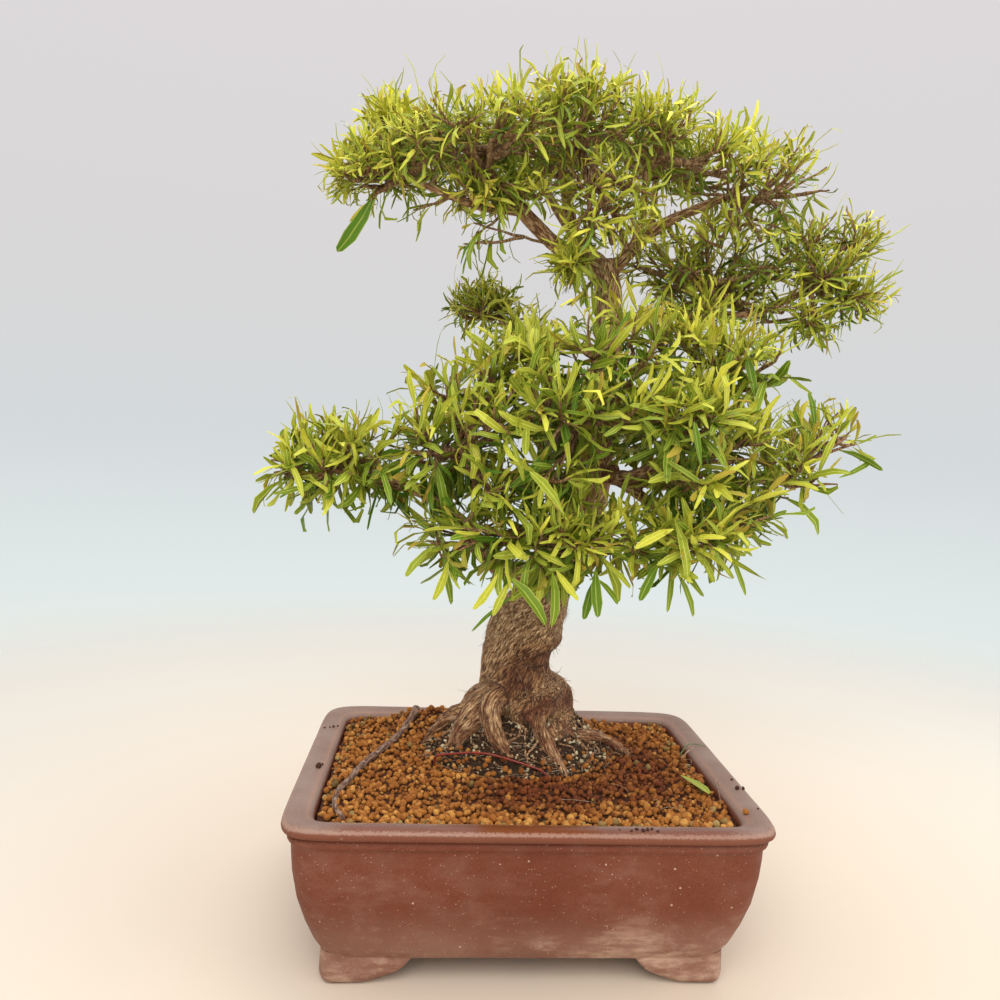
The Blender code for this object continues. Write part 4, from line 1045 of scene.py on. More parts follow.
def makeGranules():
    rng = np.random.default_rng(bedForm["seed"])
    places, sizes = granulePlaces(rng)
    kept = [isClearOfWood(place, size) for place, size in zip(toFrame(places), sizes)]
    places, sizes = places[kept], sizes[kept]
    # the fallen leaf lies on low grains
    leafStart, leafEnd = (np.array(fallenLeaf[part][:2]) for part in ("root", "tip"))
    leafLine = leafEnd - leafStart
    share = np.clip((places[:, :2] - leafStart) @ leafLine / (leafLine**2).sum(), 0, 1)
    away = np.linalg.norm(places[:, :2] - leafStart - share[:, None] * leafLine, axis=1)
    places[:, 2] -= np.where(away < 6, np.maximum(places[:, 2] - bedForm["edge"] - 0.6, 0), 0)
    kinds = granuleKinds(places, rng)
    front = np.clip((-places[:, 1] - 70) / 22, 0, 1)
    tone = np.clip(rng.beta(1.6, 2.2, len(places)) + front * rng.uniform(0, 0.5, len(places)), 0, 1)
    values = np.column_stack([tone, kinds, np.zeros(len(places))])
    coarse = sizes >= bedForm["coarseFrom"]
    shapes = Shapes()
    for part, subdivisions in ((~coarse, 1), (coarse, 2)):
        addLumps(shapes, rng, toFrame(places[part]), sizes[part] * mm, subdivisions, 0.72, values[part])
    material = makeEarth("clayGranules", [bedLook["dry"], bedLook["wet"], bedLook["olive"]], 0.9, 1400.0)
    makePiece("granules", shapes, material)


def makeBedSurface():
    # the lower layer of the bed, seen between the granules; its dark colour is painted shade
    across, deep = bedForm["cells"]
    u, v = np.meshgrid(np.arange(across + 1) / across * 2 - 1, np.arange(deep + 1) / deep * 2 - 1)
    angles = np.arctan2(v, u)
    stretch = cornerReach(angles, 22.0) * np.maximum(np.abs(np.cos(angles)), np.abs(np.sin(angles)))
    x = u * stretch * (potWidth / mm / 2 - bedForm["surfaceWall"])
    y = v * stretch * (potDepth / mm / 2 - bedForm["surfaceWall"])
    top = np.stack([x, y, bedHeight(x, y) - 1.6], -1).reshape(-1, 3)
    top[:, 2] += noiseAt(top * (1, 1, 0), 0.35) * 1.1
    grid = np.arange((across + 1) * (deep + 1)).reshape(deep + 1, across + 1)
    faces = np.stack([grid[:-1, :-1], grid[:-1, 1:], grid[1:, 1:], grid[1:, :-1]], -1).reshape(-1, 4)
    loop = np.concatenate([grid[0, :-1], grid[:-1, -1], grid[-1, :0:-1], grid[:0:-1, 0]])
    lower = top[loop] * np.array([0.96, 0.95, 1.0])
    lower[:, 2] = 60.0
    base = len(top) + np.arange(len(loop))
    walls = np.stack([base, np.roll(base, -1), np.roll(loop, -1), loop], -1)
    shapes = Shapes()
    shapes.add(toFrame(np.vstack([top, lower])), [faces, walls, base[::-1][None]],
               earthTone=(0.25, 0.35, 0.0))
    material = makeEarth("bedShade", [bedLook["between"], bedLook["wet"]], 0.95, 900.0)
    makePiece("bedUnderGranules", shapes, material, ["granule_bed"])


def makeRootBall():
    rng = np.random.default_rng(bedForm["seed"] + 1)
    rings = []
    for share, drop in ((0.9, 16), (1.0, 8), *((share, 0) for share in np.linspace(1.0, 0.12, 26))):
        x, y = onBall(share, circle(110))
        z = ballHeight(x, y) - drop - 0.6
        if not drop:
            z = z + np.array([noise.noise(Vector((a * 0.16, b * 0.16, 3.0))) * 1.9
                              + noise.noise(Vector((a * 0.5, b * 0.5, 7.0))) * 0.9 for a, b in zip(x, y)])
        rings.append(np.stack([x, y, z], -1))
    shapes = Shapes()
    shapes.add(*loftShape(toFrame(rings)), earthTone=(0.35, 0.0, 0.0))
    count = bedForm["ballBits"]
    share = np.sqrt(rng.uniform(0.10, 1.0, count))
    x, y = onBall(share, rng.uniform(0, 2 * math.pi, count))
    z = ballHeight(x, y) + rng.uniform(-0.5, 1.1, count)
    kinds = rng.choice([0.0, 1.0, 2.0], count, p=bedForm["bitShares"])
    sizes = np.where(kinds == 2, rng.uniform(1.2, 4.4, count), rng.uniform(1.6, 4.4, count))
    values = np.column_stack([rng.random(count), kinds, np.zeros(count)])
    addLumps(shapes, rng, toFrame(np.column_stack([x, y, z])), sizes * mm, 1, 0.40, values)
    material = makeEarth("darkHumus", [bedLook["humus"], bedLook["chips"], bedLook["perlite"]], 0.95, 1500.0)
    makePiece("rootBallSoil", shapes, material, ["root_ball"])


fineRootForm = {"roots": 26, "hairs": 80, "radius": (1.7, 0.45), "hairRadius": (0.26, 0.12), "seed": 31}
hairLook = {
    "dark": (0.260, 0.150, 0.080), "middle": (0.480, 0.340, 0.210), "light": (0.720, 0.580, 0.400),
    "root": (0.420, 0.250, 0.140), "roughness": 0.8,
}


def rootPath(rng, angle, startShare, endShare, wander, lift):
    # a path over the root ball from near the trunk outwards
    shares = np.linspace(startShare, endShare, 9)
    x, y = onBall(shares, angle + np.cumsum(rng.normal(0, wander, len(shares))))
    ground = np.where(shares < 1, ballHeight(x, y), bedHeight(x, y) + 1.4)
    return toFrame(smoothLine(np.column_stack([x, y, ground + lift + rng.normal(0, 0.5, len(shares))]), 3))


def makeFineRoots():
    rng = np.random.default_rng(fineRootForm["seed"])
    thick, hairs = Shapes(), Shapes()
    first, last = fineRootForm["radius"]
    for number in range(fineRootForm["roots"]):
        angle = number * 2.399 + rng.normal(0, 0.2)
        path = rootPath(rng, angle, rng.uniform(0.34, 0.5), rng.uniform(0.75, 1.10), 0.11, 0.2)
        radii = np.linspace(first * rng.uniform(0.5, 1.0), last, len(path)) * mm
        radii *= rng.uniform(0.8, 1.2, len(path))
        thick.addBark(tubeShape(path, radii, 7), rng.uniform(0.1, 0.9))
    for number in range(fineRootForm["hairs"]):
        start = rng.uniform(0.35, 1.0)
        path = rootPath(rng, rng.uniform(0, 6.28), start, start + rng.uniform(0.05, 0.2), 0.16, 0.8)
        hairs.addBark(tubeShape(path, np.linspace(*fineRootForm["hairRadius"], len(path)) * mm, 4), 0.2)
    makePiece("surfaceRoots", thick, makeBark("surfaceRootBark", woodLook))
    makePiece("hairRoots", hairs, makeBark("hairRootSkin", hairLook))


makeBedSurface()
makeGranules()
makeRootBall()
makeFineRoots()
print("soil is in")


# Foliage

leafForm = {
    "stations": [0.08, 0.36, 0.70, 0.94], "widths": [0.27, 0.84, 1.0, 0.54],
    "length": (14.0, 33.0), "width": (2.0, 4.3), "thickness": 0.15, "fold": (0.08, 0.55), "old": 0.16,
}
shootForm = {
    "perPad": 50, "perBridge": 26, "leaves": (10, 16), "length": (18.0, 34.0), "reach": 16.0,
    "bridgeSize": 0.88, "spiral": 137.5, "spread": (20.0, 82.0), "limbs": 6, "blend": 2.0, "farthest": 1.4,
    "innerShare": 0.24, "underHeight": 400, "underShare": 0.62, "highSize": 0.88, "seed": 11,
}
# Neighbouring pads whose foliage runs together
padPairs = [
    ("top_left", "top_left_front"), ("top_left_front", "crown_front"), ("crown_front", "top_right_front"),
    ("top_right_front", "top_right"), ("top_left", "top_left_back"), ("top_left_back", "crown_back"),
    ("crown_back", "top_right_back"), ("top_right_back", "top_right"), ("top_left_front", "top_left_back"),
    ("crown_front", "crown_back"), ("top_right_front", "top_right_back"), ("right", "right_out"),
    ("low_left", "mid_left"), ("mid_left", "mid_front"), ("mid_front", "right_front"),
    ("mid_front", "low_front"), ("mid_left", "low_front"), ("right_front", "right_low"),
    ("low_front", "right_low"), ("right_front", "right_far"), ("right_low", "right_far"),
    ("mid_front", "back"), ("right_front", "back"),
]
leafLook = {
    "dark": (0.036, 0.052, 0.004), "middle": (0.268, 0.300, 0.014), "light": (0.770, 0.730, 0.070),
    "deep": (0.058, 0.178, 0.008), "young": (0.450, 0.270, 0.045), "margin": (0.820, 0.800, 0.180),
    "roughness": 0.45,
}
twigLook = {
    "dark": (0.090, 0.042, 0.016), "middle": (0.320, 0.175, 0.080), "light": (0.580, 0.390, 0.210),
    "root": (0.330, 0.150, 0.036), "roughness": 0.75,
}
# Foliage between the pads, in millimetres: the pad it belongs to, centre and half size
fillers = [
    ("top_right", (142, 6, 484), (50, 44, 34)), ("right", (92, 34, 466), (48, 44, 42)),
    ("crown_front", (44, -12, 500), (52, 46, 38)), ("left_small", (2, 72, 418), (32, 32, 28)),
    ("low_front", (-48, -52, 278), (50, 44, 42)), ("mid_front", (46, -56, 392), (52, 50, 46)),
    ("right_far", (203, -20, 345), (40, 40, 38)), ("right_front", (128, -50, 392), (44, 44, 34)),
    ("top_left_front", (-50, -14, 492), (34, 32, 28)), ("top_left_front", (-12, -12, 499), (34, 32, 28)),
    ("crown_front", (42, -20, 472), (44, 38, 38)),
    ("right_out", (222, 32, 492), (52, 46, 42)), ("right_out", (238, 32, 446), (36, 38, 38)),
    ("right", (176, 44, 440), (50, 44, 34)), ("right", (118, 32, 432), (36, 34, 32)),
    ("mid_left", (-52, -44, 372), (38, 36, 30)), ("mid_left", (-8, -40, 388), (38, 36, 32)),
    ("right", (138, 48, 486), (44, 40, 32)), ("right_front", (84, -40, 404), (36, 34, 28)),
    ("right_out", (184, 24, 490), (36, 34, 28)), ("right", (170, 30, 470), (38, 36, 30)),
    ("crown_front", (20, -4, 452), (24, 24, 26)), ("top_left", (-127, -9, 502), (28, 30, 26)),
    ("top_left_back", (-108, 20, 552), (31, 31, 24)), ("right_out", (204, 30, 428), (29, 30, 21)),
    ("low_left", (-106, -38, 307), (27, 28, 22)),
]
# Places where the foliage thins out, in millimetres: centre, half size and the share that stays
clearings = [
    ((15, 0, 618), (80, 110, 41), 0.08), ((222, 10, 569), (64, 110, 55), 0.04),
    ((156, 10, 597), (50, 110, 34), 0.25), ((216, -34, 524), (36, 46, 30), 0.25),
    ((24, 80, 446), (30, 50, 34), 0.08), ((-45, 95, 492), (52, 60, 24), 0.10),
    ((-197, -37, 316), (27, 60, 60), 0.08), ((-140, -37, 260), (62, 60, 24), 0.10),
    ((-172, -37, 364), (34, 60, 24), 0.25), ((-81, -45, 338), (24, 60, 24), 0.35),
    ((228, -22, 328), (48, 70, 84), 0.13), ((199, -22, 284), (36, 70, 26), 0.22),
    ((122, -55, 243), (54, 60, 32), 0.28), ((164, -40, 382), (26, 50, 26), 0.18),
    ((-58, -45, 377), (17, 60, 17), 0.30), ((75, -80, 243), (55, 50, 14), 0.40),
    ((196, -24, 304), (24, 60, 22), 0.30), ((196, 10, 530), (26, 80, 22), 0.20),
    ((46, -48, 322), (15, 56, 20), 0.20),
]
# Pads that stand in more shade, with what is taken off the light on their leaves
shadedPads = {"leaves_left_small": 0.16, "leaves_right": 0.05}
# Sparse shoots that hang clear of their pad, in millimetres, with their number of leaves and droop
clearShoots = {
    "leaves_top_left": [
        ([(-96, -12, 505), (-106, -11, 499), (-117, -9, 489)], 4, 0.5),
        ([(-62, -13, 494), (-76, -14, 488), (-88, -12, 484)], 5, 0.5),
    ],
    "leaves_top_left_front": [
        ([(7, 6, 471), (-14, -6, 472), (-34, -10, 475), (-48, -12, 478)], 9, 0.9),
        ([(-14, -6, 472), (-34, -14, 466), (-54, -16, 463)], 8, 0.8),
        ([(-22, -3, 493), (-36, -14, 478), (-46, -20, 470)], 7, 0.8),
    ],
    "leaves_right": [([(66, 30, 426), (78, 22, 418), (90, 18, 414)], 8, 0.8)],
    "leaves_crown_front": [([(45, 20, 456), (38, 6, 450), (30, -4, 440)], 9, 0.8)],
}
# Large leaves that stand out, in millimetres: root, tip, width, depth of green and light
bigLeaves = {
    "leaves_top_left": [((-117, -9, 489), (-139, -9, 455), 9.5, 1.0, 0.22)],
    "leaves_low_front": [
        ((-16, -78, 248), (4, -92, 227), 7.6, 0.80, 0.48), ((7, -80, 251), (8, -92, 225), 6.4, 0.75, 0.50),
        ((35, -76, 253), (37, -86, 230), 8.0, 0.90, 0.34), ((34, -70, 245), (30, -74, 225), 6.6, 1.0, 0.28),
        ((39, -76, 248), (48, -84, 239), 4.6, 0.80, 0.42),
        ((-29, -78, 249), (-40, -88, 233), 5.0, 0.10, 0.78),
        ((-58, -72, 255), (-64, -80, 236), 5.2, 0.20, 0.72),
        ((-20, -80, 245), (-28, -90, 230), 5.0, 0.30, 0.70),
        ((-15, -74, 239), (-41, -78, 216), 2.4, 1.0, 0.25), ((12, -82, 254), (22, -94, 243), 5.4, 0.15, 0.82),
    ],
    "leaves_right_low": [
        ((69, -84, 258), (60, -92, 242), 6.8, 0.90, 0.32), ((79, -92, 286), (86, -104, 259), 7.6, 0.50, 0.62),
        ((85, -84, 254), (95, -90, 233), 5.0, 0.60, 0.45),
        ((120, -80, 265), (127, -88, 247), 4.2, 0.60, 0.45),
        ((72, -96, 284), (52, -106, 276), 5.2, 0.10, 0.82),
    ],
    "leaves_right_far": [
        ((186, -30, 352), (184, -30, 377), 5.0, 0.95, 0.28),
        ((179, -28, 348), (174, -28, 364), 4.2, 1.0, 0.18),
        ((211, -30, 322), (231, -32, 334), 3.6, 0.70, 0.40),
    ],
    "leaves_mid_front": [((6, -98, 297), (-10, -102, 318), 6.0, 0.50, 0.62)],
    "leaves_mid_left": [((-60, -60, 352), (-57, -62, 371), 6.0, 0.60, 0.50)],
    "leaves_right_front": [
        ((129, -70, 373), (124, -74, 393), 6.8, 0.95, 0.30),
        ((107, -74, 381), (111, -78, 394), 6.0, 0.80, 0.38),
        ((87, -104, 329), (83, -108, 350), 4.4, 0.95, 0.30),
    ],
}


def addLeaves(shapes, leaves):
    # one row of each value for each leaf: root, direction, upper side, sizes and bends
    along, upper = leaves["along"], leaves["upper"]
    count = len(along)
    upper = unit(upper - along * np.einsum("ij,ij->i", upper, along)[:, None])
    side = np.cross(along, upper)
    stations = np.array([0.0] + leafForm["stations"] + [1.0])
    middle = [leaves["root"]]
    for number in range(1, len(stations)):
        t = (stations[number] + stations[number - 1]) / 2
        angle = (leaves["bend"] * t + leaves["curl"] * t**4)[:, None]
        sway = (leaves["sway"] * (t - 0.5))[:, None]
        step = (stations[number] - stations[number - 1]) * leaves["length"][:, None]
        middle.append(middle[-1] + unit(along * np.cos(angle) - upper * np.sin(angle) + side * sway) * step)
    # each section: left margin, rib from above, right margin, rib from below
    rows = []
    for t, share, centre in zip(leafForm["stations"], leafForm["widths"], middle[1:]):
        angle = (leaves["bend"] * t + leaves["curl"] * t**4)[:, None]
        normal = upper * np.cos(angle) + along * np.sin(angle)
        roll = (leaves["twist"] * t)[:, None]
        across = side * np.cos(roll) + normal * np.sin(roll)
        above = normal * np.cos(roll) - side * np.sin(roll)
        half = (leaves["width"] * share / 2)[:, None]
        thick = np.minimum(leafForm["thickness"] * mm, half * 0.8)
        wave = (np.sin(t * 14 + leaves["phase"]) * 0.25)[:, None]
        rise = leaves["fold"][:, None] * half
        rows += [centre - across * half + above * rise * (1 + wave), centre + above * thick,
                 centre + across * half + above * rise * (1 - wave), centre - above * thick]
    points = np.stack([*rows, middle[0], middle[-1]], 1)
    levels, size = len(leafForm["stations"]), points.shape[1]
    offsets = (np.arange(count) * size)[:, None, None]
    faces = [(part[None] + offsets).reshape(-1, part.shape[1])
             for part in (ringQuads(levels, 4), pointedEnds(levels, 4))]
    placeAcross = np.tile([-1.0, 0.0, 1.0, 0.0] * levels + [0.0, 0.0], count)
    placeAlong = np.tile([*np.repeat(leafForm["stations"], 4), 0.0, 1.0], count)
    tones = np.repeat(np.stack([leaves["tone"], leaves["age"], leaves["shade"]], -1), size, axis=0)
    place = np.stack([placeAcross, placeAlong, placeAlong * 0], -1)
    shapes.add(points, faces, leafPlace=place, leafTone=tones)


def makeLeafFinish():
    material, leaf, shader = startMaterial("figLeaf", leafLook["roughness"])
    shader.inputs["Specular IOR Level"].default_value = 0.20
    across, along, _ = leaf.split(leaf.attribute("leafPlace")["Vector"])
    tone, age, shade = leaf.split(leaf.attribute("leafTone")["Vector"])
    mottle = leaf.grain(leaf.space(), 700.0, 0.8)
    # painted light and shade: the shade value picks a darker or lighter green
    factor = leaf.plus(leaf.times(shade, 0.92), leaf.times(mottle["Mask"], 0.08), clamp=True)
    colour = leaf.tones(factor, leafLook["dark"], leafLook["middle"], leafLook["light"])
    # deeper green for old leaves, at random, and low down and under the crown, partly as painted shade
    colour = leaf.mix(leaf.times(tone, 0.74), colour, leafLook["deep"])
    # the rib and the margins are paler
    away = leaf.maths("ABSOLUTE", across)
    pale = leaf.maths("MAXIMUM", leaf.fall(away, 0.03, 0.17), leaf.rise(away, 0.80, 0.98))
    colour = leaf.mix(leaf.times(pale, leaf.plus(leaf.times(shade, 0.5), 0.16)), colour, leafLook["margin"])
    # young leaves are bronze, more so towards the tip
    youth = leaf.times(leaf.fall(age, 0.05, 0.35), leaf.plus(leaf.times(along, 0.55), 0.25))
    leaf.feed(shader.inputs["Base Color"], leaf.mix(youth, colour, leafLook["young"]))
    leaf.bump(shader, mottle["Height"], 0.00015, 0.5)
    return material


def evenDirections(count, turn):
    number = np.arange(count)
    z = 1 - 2 * (number + 0.5) / count
    angle = number * math.pi * (3 - math.sqrt(5)) + turn
    flat = np.sqrt(1 - z * z)
    return np.stack([flat * np.cos(angle), flat * np.sin(angle), z], -1)


def curveBetween(start, control, end, steps):
    t = np.linspace(0, 1, steps)[:, None]
    return (1 - t) ** 2 * start + 2 * (1 - t) * t * control + t**2 * end


def fieldAt(points, pads):
    # one at the skin that runs over all pads together, more inside it
    centres, halves = pads
    away = (((points[..., None, :] - centres) / halves) ** 2).sum(-1)
    return np.exp(shootForm["blend"] * (1 - away)).sum(-1)


def skinReach(centre, half, directions, pads):
    # how far each direction runs to the common skin, as a share of the pad's half size
    steps = np.linspace(0.55, shootForm["farthest"], 37)
    points = centre + directions[:, None] * half * steps[None, :, None]
    inside = fieldAt(points, pads) >= 1
    last = inside.shape[1] - 1 - inside[:, ::-1].argmax(1)
    return steps[last], inside[:, -1]


def isThinned(place, rng):
    # drawn by chance where the place lies in a clearing
    for centre, half, share in clearings:
        away = (((place - toFrame(centre)) / (np.array(half) * mm)) ** 2).sum()
        if away < 1 and rng.random() > math.sqrt(share):
            return True
    return False


def leafRow(place, along, upper, length, width, rng, exposed, newness, lushnessAndShade):
    row = {
        "root": place, "along": along, "upper": upper, "length": length * mm, "width": width * mm,
        "bend": rng.normal(0.40, 0.72),
        "curl": rng.normal(0.2, 0.8) + (rng.random() < 0.18) * rng.choice([-1.8, 1.8]),
        "sway": rng.normal(0, 0.78), "twist": rng.normal(0, 0.8), "phase": rng.uniform(0, 6.28),
        "fold": rng.uniform(*leafForm["fold"]),
    }
    # old leaves are deep green
    old = rng.random() < leafForm["old"]
    # deeper green from the shoot's place, partly painted shade, and for old leaves
    row["tone"] = float(np.clip(rng.beta(1.4, 2.6) + lushnessAndShade + 0.45 * old, 0, 1))
    young = (newness > 0.80 and rng.random() < 0.62) or (length < 20 and rng.random() < 0.09)
    row["age"] = rng.uniform(0.0, 0.2) if young else rng.uniform(0.4, 1.0)
    row["shade"] = float(np.clip(exposed - 0.12 * old + 0.02, 0.02, 1.0))
    return row


def growLeaves(rows, shoot, rng, count, droop, lift, sizeShare, lushnessAndShade, pads, number, shaded=0.0):
    # leaves in a spiral round a shoot; number is that of the pad that it grows in
    centre, half = pads[0][number], pads[1][number]
    tangents = unit(np.gradient(shoot, axis=0))
    length = np.linalg.norm(np.diff(shoot, axis=0), axis=1).sum()
    leafy = min(0.95, rng.uniform(*shootForm["length"]) * mm / max(length, 1e-6))
    spin = rng.uniform(0, 6.28)
    widest = min(sizeShare**2, 1.5)
    crest = 0.10 if centre[2] > 0.44 else 0.0
    for turn in range(count):
        newness = turn / max(count - 1, 1)
        index = (1 - leafy * (1 - newness) ** 0.9) * (len(shoot) - 1)
        lower = min(int(index), len(shoot) - 2)
        place = shoot[lower] + (shoot[lower + 1] - shoot[lower]) * (index - lower)
        axis = tangents[lower + 1]
        helper = unit(np.cross(axis, [0.3, 0.2, 1.0]))
        angle = spin + math.radians(shootForm["spiral"]) * turn + rng.normal(0, 0.3)
        radial = helper * math.cos(angle) + np.cross(axis, helper) * math.sin(angle)
        spread = math.radians(rng.uniform(*shootForm["spread"])) * (1.15 - 0.65 * newness)
        along = unit(axis * math.cos(spread) + radial * math.sin(spread)
                     + np.array([0, 0, lift - droop]) * rng.uniform(0.5, 1.3))
        upper = unit(axis * 0.7 - along * axis.dot(along) + np.array([0, 0, 0.6]) + rng.normal(0, 0.30, 3))
        size = rng.uniform(*leafForm["length"]) * sizeShare
        if newness > 0.75:
            size *= rng.uniform(0.30, 0.85)
        width = rng.uniform(*leafForm["width"]) * widest * (0.5 + 0.5 * size / leafForm["length"][1])
        tip = place + along * size * mm
        if isThinned(tip, rng):
            continue
        # painted light and shade: leaves deep inside the foliage are darker, leaves high in their pad and in
        # the top pads (crest) lighter
        airy = 1.25 / (1.25 + float(fieldAt(tip, pads)))
        height = (tip[2] - centre[2]) / half[2]
        lit = 0.03 + crest + 0.88 * airy + 0.15 * height + rng.normal(0, 0.16)
        exposed = lit + 0.10 * (newness - 0.5) - shaded
        rows.append(leafRow(place, along, upper, size, width, rng, exposed, newness, lushnessAndShade))
    if lift > 0.1 and rng.random() < 0.30:
        # a thin bud at the end
        along = unit(tangents[-1] + np.array([0, 0, 1.0]) + rng.normal(0, 0.35, 3))
        upper = unit(rng.normal(0, 1, 3))
        rows.append(leafRow(shoot[-1], along, upper, rng.uniform(22, 36), 0.9, rng, 0.75, 0.5, 0.0))


def addTwig(shapes, line, first, last, rng, youth, sides=5):
    wobble = rng.normal(0, 0.0004, line.shape)
    wobble[0] = wobble[-1] = 0
    radii = np.linspace(first, last, len(line)) * mm * rng.uniform(0.88, 1.14, len(line))
    shapes.addBark(tubeShape(line + wobble, radii, sides), youth, 0.1)


def growLimbs(twigShapes, centre, half, start, count, rng):
    # limbs from the branch's end into the pad
    limbs = []
    for direction in evenDirections(count, rng.uniform(0, 6.28)):
        direction = unit(direction * np.array([1, 1, 0.45]) + rng.normal(0, 0.12, 3))
        end = centre + direction * half * 0.5 + np.array([0, 0, -0.12]) * half
        control = (start + end) / 2 + rng.normal(0, 0.003, 3) + np.array([0, 0, -0.004])
        limb = curveBetween(start, control, end, 8)
        limbs.append(limb)
        addTwig(twigShapes, limb, 2.3, 1.3, rng, 0.30, 6)
    return limbs


def growShoots(rows, twigShapes, number, count, limbs, pads, rng, shaded):
    # shoots from the limbs to the common skin and leaves round each shoot
    centre, half = pads[0][number], pads[1][number]
    high = centre[2] > shootForm["underHeight"] * mm
    directions = evenDirections(count, rng.uniform(0, 6.28))
    directions = unit(directions + rng.normal(0, 0.12, directions.shape))
    reaches, hidden = skinReach(centre, half, directions, pads)
    for direction, reach, covered in zip(directions, reaches, hidden):
        under = -direction[2]
        skipped = (0.62 if high else 0.22) + 0.5 * (under - 0.30)
        if covered and rng.random() < 0.80 or under > 0.30 and rng.random() < skipped:
            continue
        if under > 0 and high:
            direction = direction * np.array([1, 1, shootForm["underShare"]])
        inner = rng.random() < shootForm["innerShare"]
        share = reach * (rng.uniform(0.5, 0.75) if inner else rng.uniform(0.86, 1.03))
        tip = centre + direction * half * share
        if isThinned(tip, rng):
            continue
        limb = min(limbs, key=lambda line: np.linalg.norm(line[-1] - tip))
        base = limb[rng.integers(4, 8)]
        control = base + (tip - base) * 0.5 + direction * np.array([1, 1, 0.2]) * 0.006
        control += rng.normal(0, 0.002, 3)
        shoot = curveBetween(base, control, tip, 6)
        addTwig(twigShapes, shoot, 1.3, 0.6, rng, 0.75)
        droop = max(0.0, under - 0.1) * (0.25 if high else 0.9)
        lift = max(0.0, direction[2]) * 0.65 + 0.08
        # deeper green low down and under the crown: partly the leaves' own green, partly painted shade
        lushAndShade = (0.0 if high else 0.14) + 0.30 * max(0.0, under) - 0.10 * direction[2]
        sizeShare = shootForm["highSize"] if high else 1.06 + 0.30 * max(0.0, under)
        leafCount = int(rng.integers(*shootForm["leaves"]) * (0.68 if under > 0.3 else 1.1 if high else 0.88))
        growLeaves(rows, shoot, rng, leafCount, droop, lift, sizeShare, lushAndShade, pads, number, shaded)


def growPad(name, number, leafShapes, twigShapes, branchEnds, pads, bridges):
    rng = np.random.default_rng([shootForm["seed"], number])
    centre, half = pads[0][number], pads[1][number]
    start = min(branchEnds, key=lambda end: np.linalg.norm((end - centre) / half))
    rows = []
    shaded = shadedPads.get(name, 0.0)
    limbs = growLimbs(twigShapes, centre, half, start, shootForm["limbs"], rng)
    growShoots(rows, twigShapes, number, shootForm["perPad"], limbs, pads, rng, shaded)
    for bridge in bridges:
        limbs = growLimbs(twigShapes, pads[0][bridge], pads[1][bridge], limbs[0][3], 3, rng)
        growShoots(rows, twigShapes, bridge, shootForm["perBridge"], limbs, pads, rng, shaded)
    for points, count, droop in clearShoots.get(name, []):
        shoot = toFrame(smoothLine(points, 3))
        addTwig(twigShapes, shoot, 1.3, 0.6, rng, 0.5)
        growLeaves(rows, shoot, rng, count, droop, 0.0, 1.05, 0.25, pads, number)
    for root, tip, width, depth, light in bigLeaves.get(name, []):
        root, tip = toFrame(root), toFrame(tip)
        along = unit(tip - root)
        row = leafRow(root - along * 6 * mm, along, np.array([0.3, -1.0, 0.4]),
                      np.linalg.norm(tip - root) / mm + 6, width, rng, 0.2, 0.5, 0.0)
        row.update(age=1.0, tone=depth, shade=light, bend=0.25, twist=0.2, curl=0.1,
                   sway=rng.choice([-0.35, 0.35]))
        rows.append(row)
    addLeaves(leafShapes, {label: np.array([row[label] for row in rows], float) for label in rows[0]})


def makeFoliage():
    leafFinish = makeLeafFinish()
    twigShapes = Shapes()
    branchEnds = [toFrame(points[-1]) for points, first, last in branchLines.values()]
    names = sorted(name for name in frame["nodes"] if name.startswith("leaves_"))
    corners = np.array([[list(corner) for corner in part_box(name)] for name in names])
    centres, halves = corners.mean(1), (corners[:, 1] - corners[:, 0]) / 2
    # the pads, then the foliage between two of them, then the fillers
    firsts, seconds = zip(*[(names.index("leaves_" + first), names.index("leaves_" + second))
                            for first, second in padPairs])
    firsts, seconds = list(firsts), list(seconds)
    owners = [names[first] for first in firsts] + ["leaves_" + name for name, middle, size in fillers]
    between = (centres[firsts] + centres[seconds]) / 2
    betweenHalves = (halves[firsts] + halves[seconds]) / 2 * shootForm["bridgeSize"]
    fillerHalves = [np.array(size) * mm for name, middle, size in fillers]
    pads = (np.vstack([centres, between, [toFrame(middle) for name, middle, size in fillers]]),
            np.vstack([halves, betweenHalves, fillerHalves]) - shootForm["reach"] * mm)
    for number, name in enumerate(names):
        leafShapes = Shapes()
        bridges = [len(names) + place for place, owner in enumerate(owners) if owner == name]
        growPad(name, number, leafShapes, twigShapes, branchEnds, pads, bridges)
        words = name.split("_")
        pieceName = words[0] + "".join(word.capitalize() for word in words[1:])
        makePiece(pieceName, leafShapes, leafFinish, [name], 55)
    makePiece("twigs", twigShapes, makeBark("twigBark", twigLook))


makeFoliage()
print("foliage has grown")


# Small pieces on the soil

def plainFinish(name, colour, roughness, bump):
    material, finish, shader = startMaterial(name, roughness)
    grain = finish.grain(finish.space(), 1200.0, 0.6)
    darker, lighter = tuple(c * 0.6 for c in colour), tuple(min(c * 1.4, 1.0) for c in colour)
    finish.feed(shader.inputs["Base Color"], finish.tones(grain["Mask"], darker, colour, lighter))
    finish.bump(shader, grain["Height"], bump)
    return material


looseRootLine = [
    (-76, 86, 110), (-77, 76, 107), (-83, 60, 105.5), (-92, 37, 105), (-100, 16, 105), (-107, -2, 104.5),
    (-112, -20, 104.2), (-116, -38, 104), (-120, -53, 103.8), (-121, -67, 103.6), (-119, -80, 103.2),
    (-113, -89, 103),
]
wireLine = [
    (-60, -8, 88), (-60, -8, 107), (-58, -9, 113), (-46, -14, 116.6), (-33, -18, 119), (-21, -22, 119.4),
    (-8, -25, 117), (4, -28, 114.4), (13, -30, 111.6), (17, -31, 106), (18, -31, 88),
]


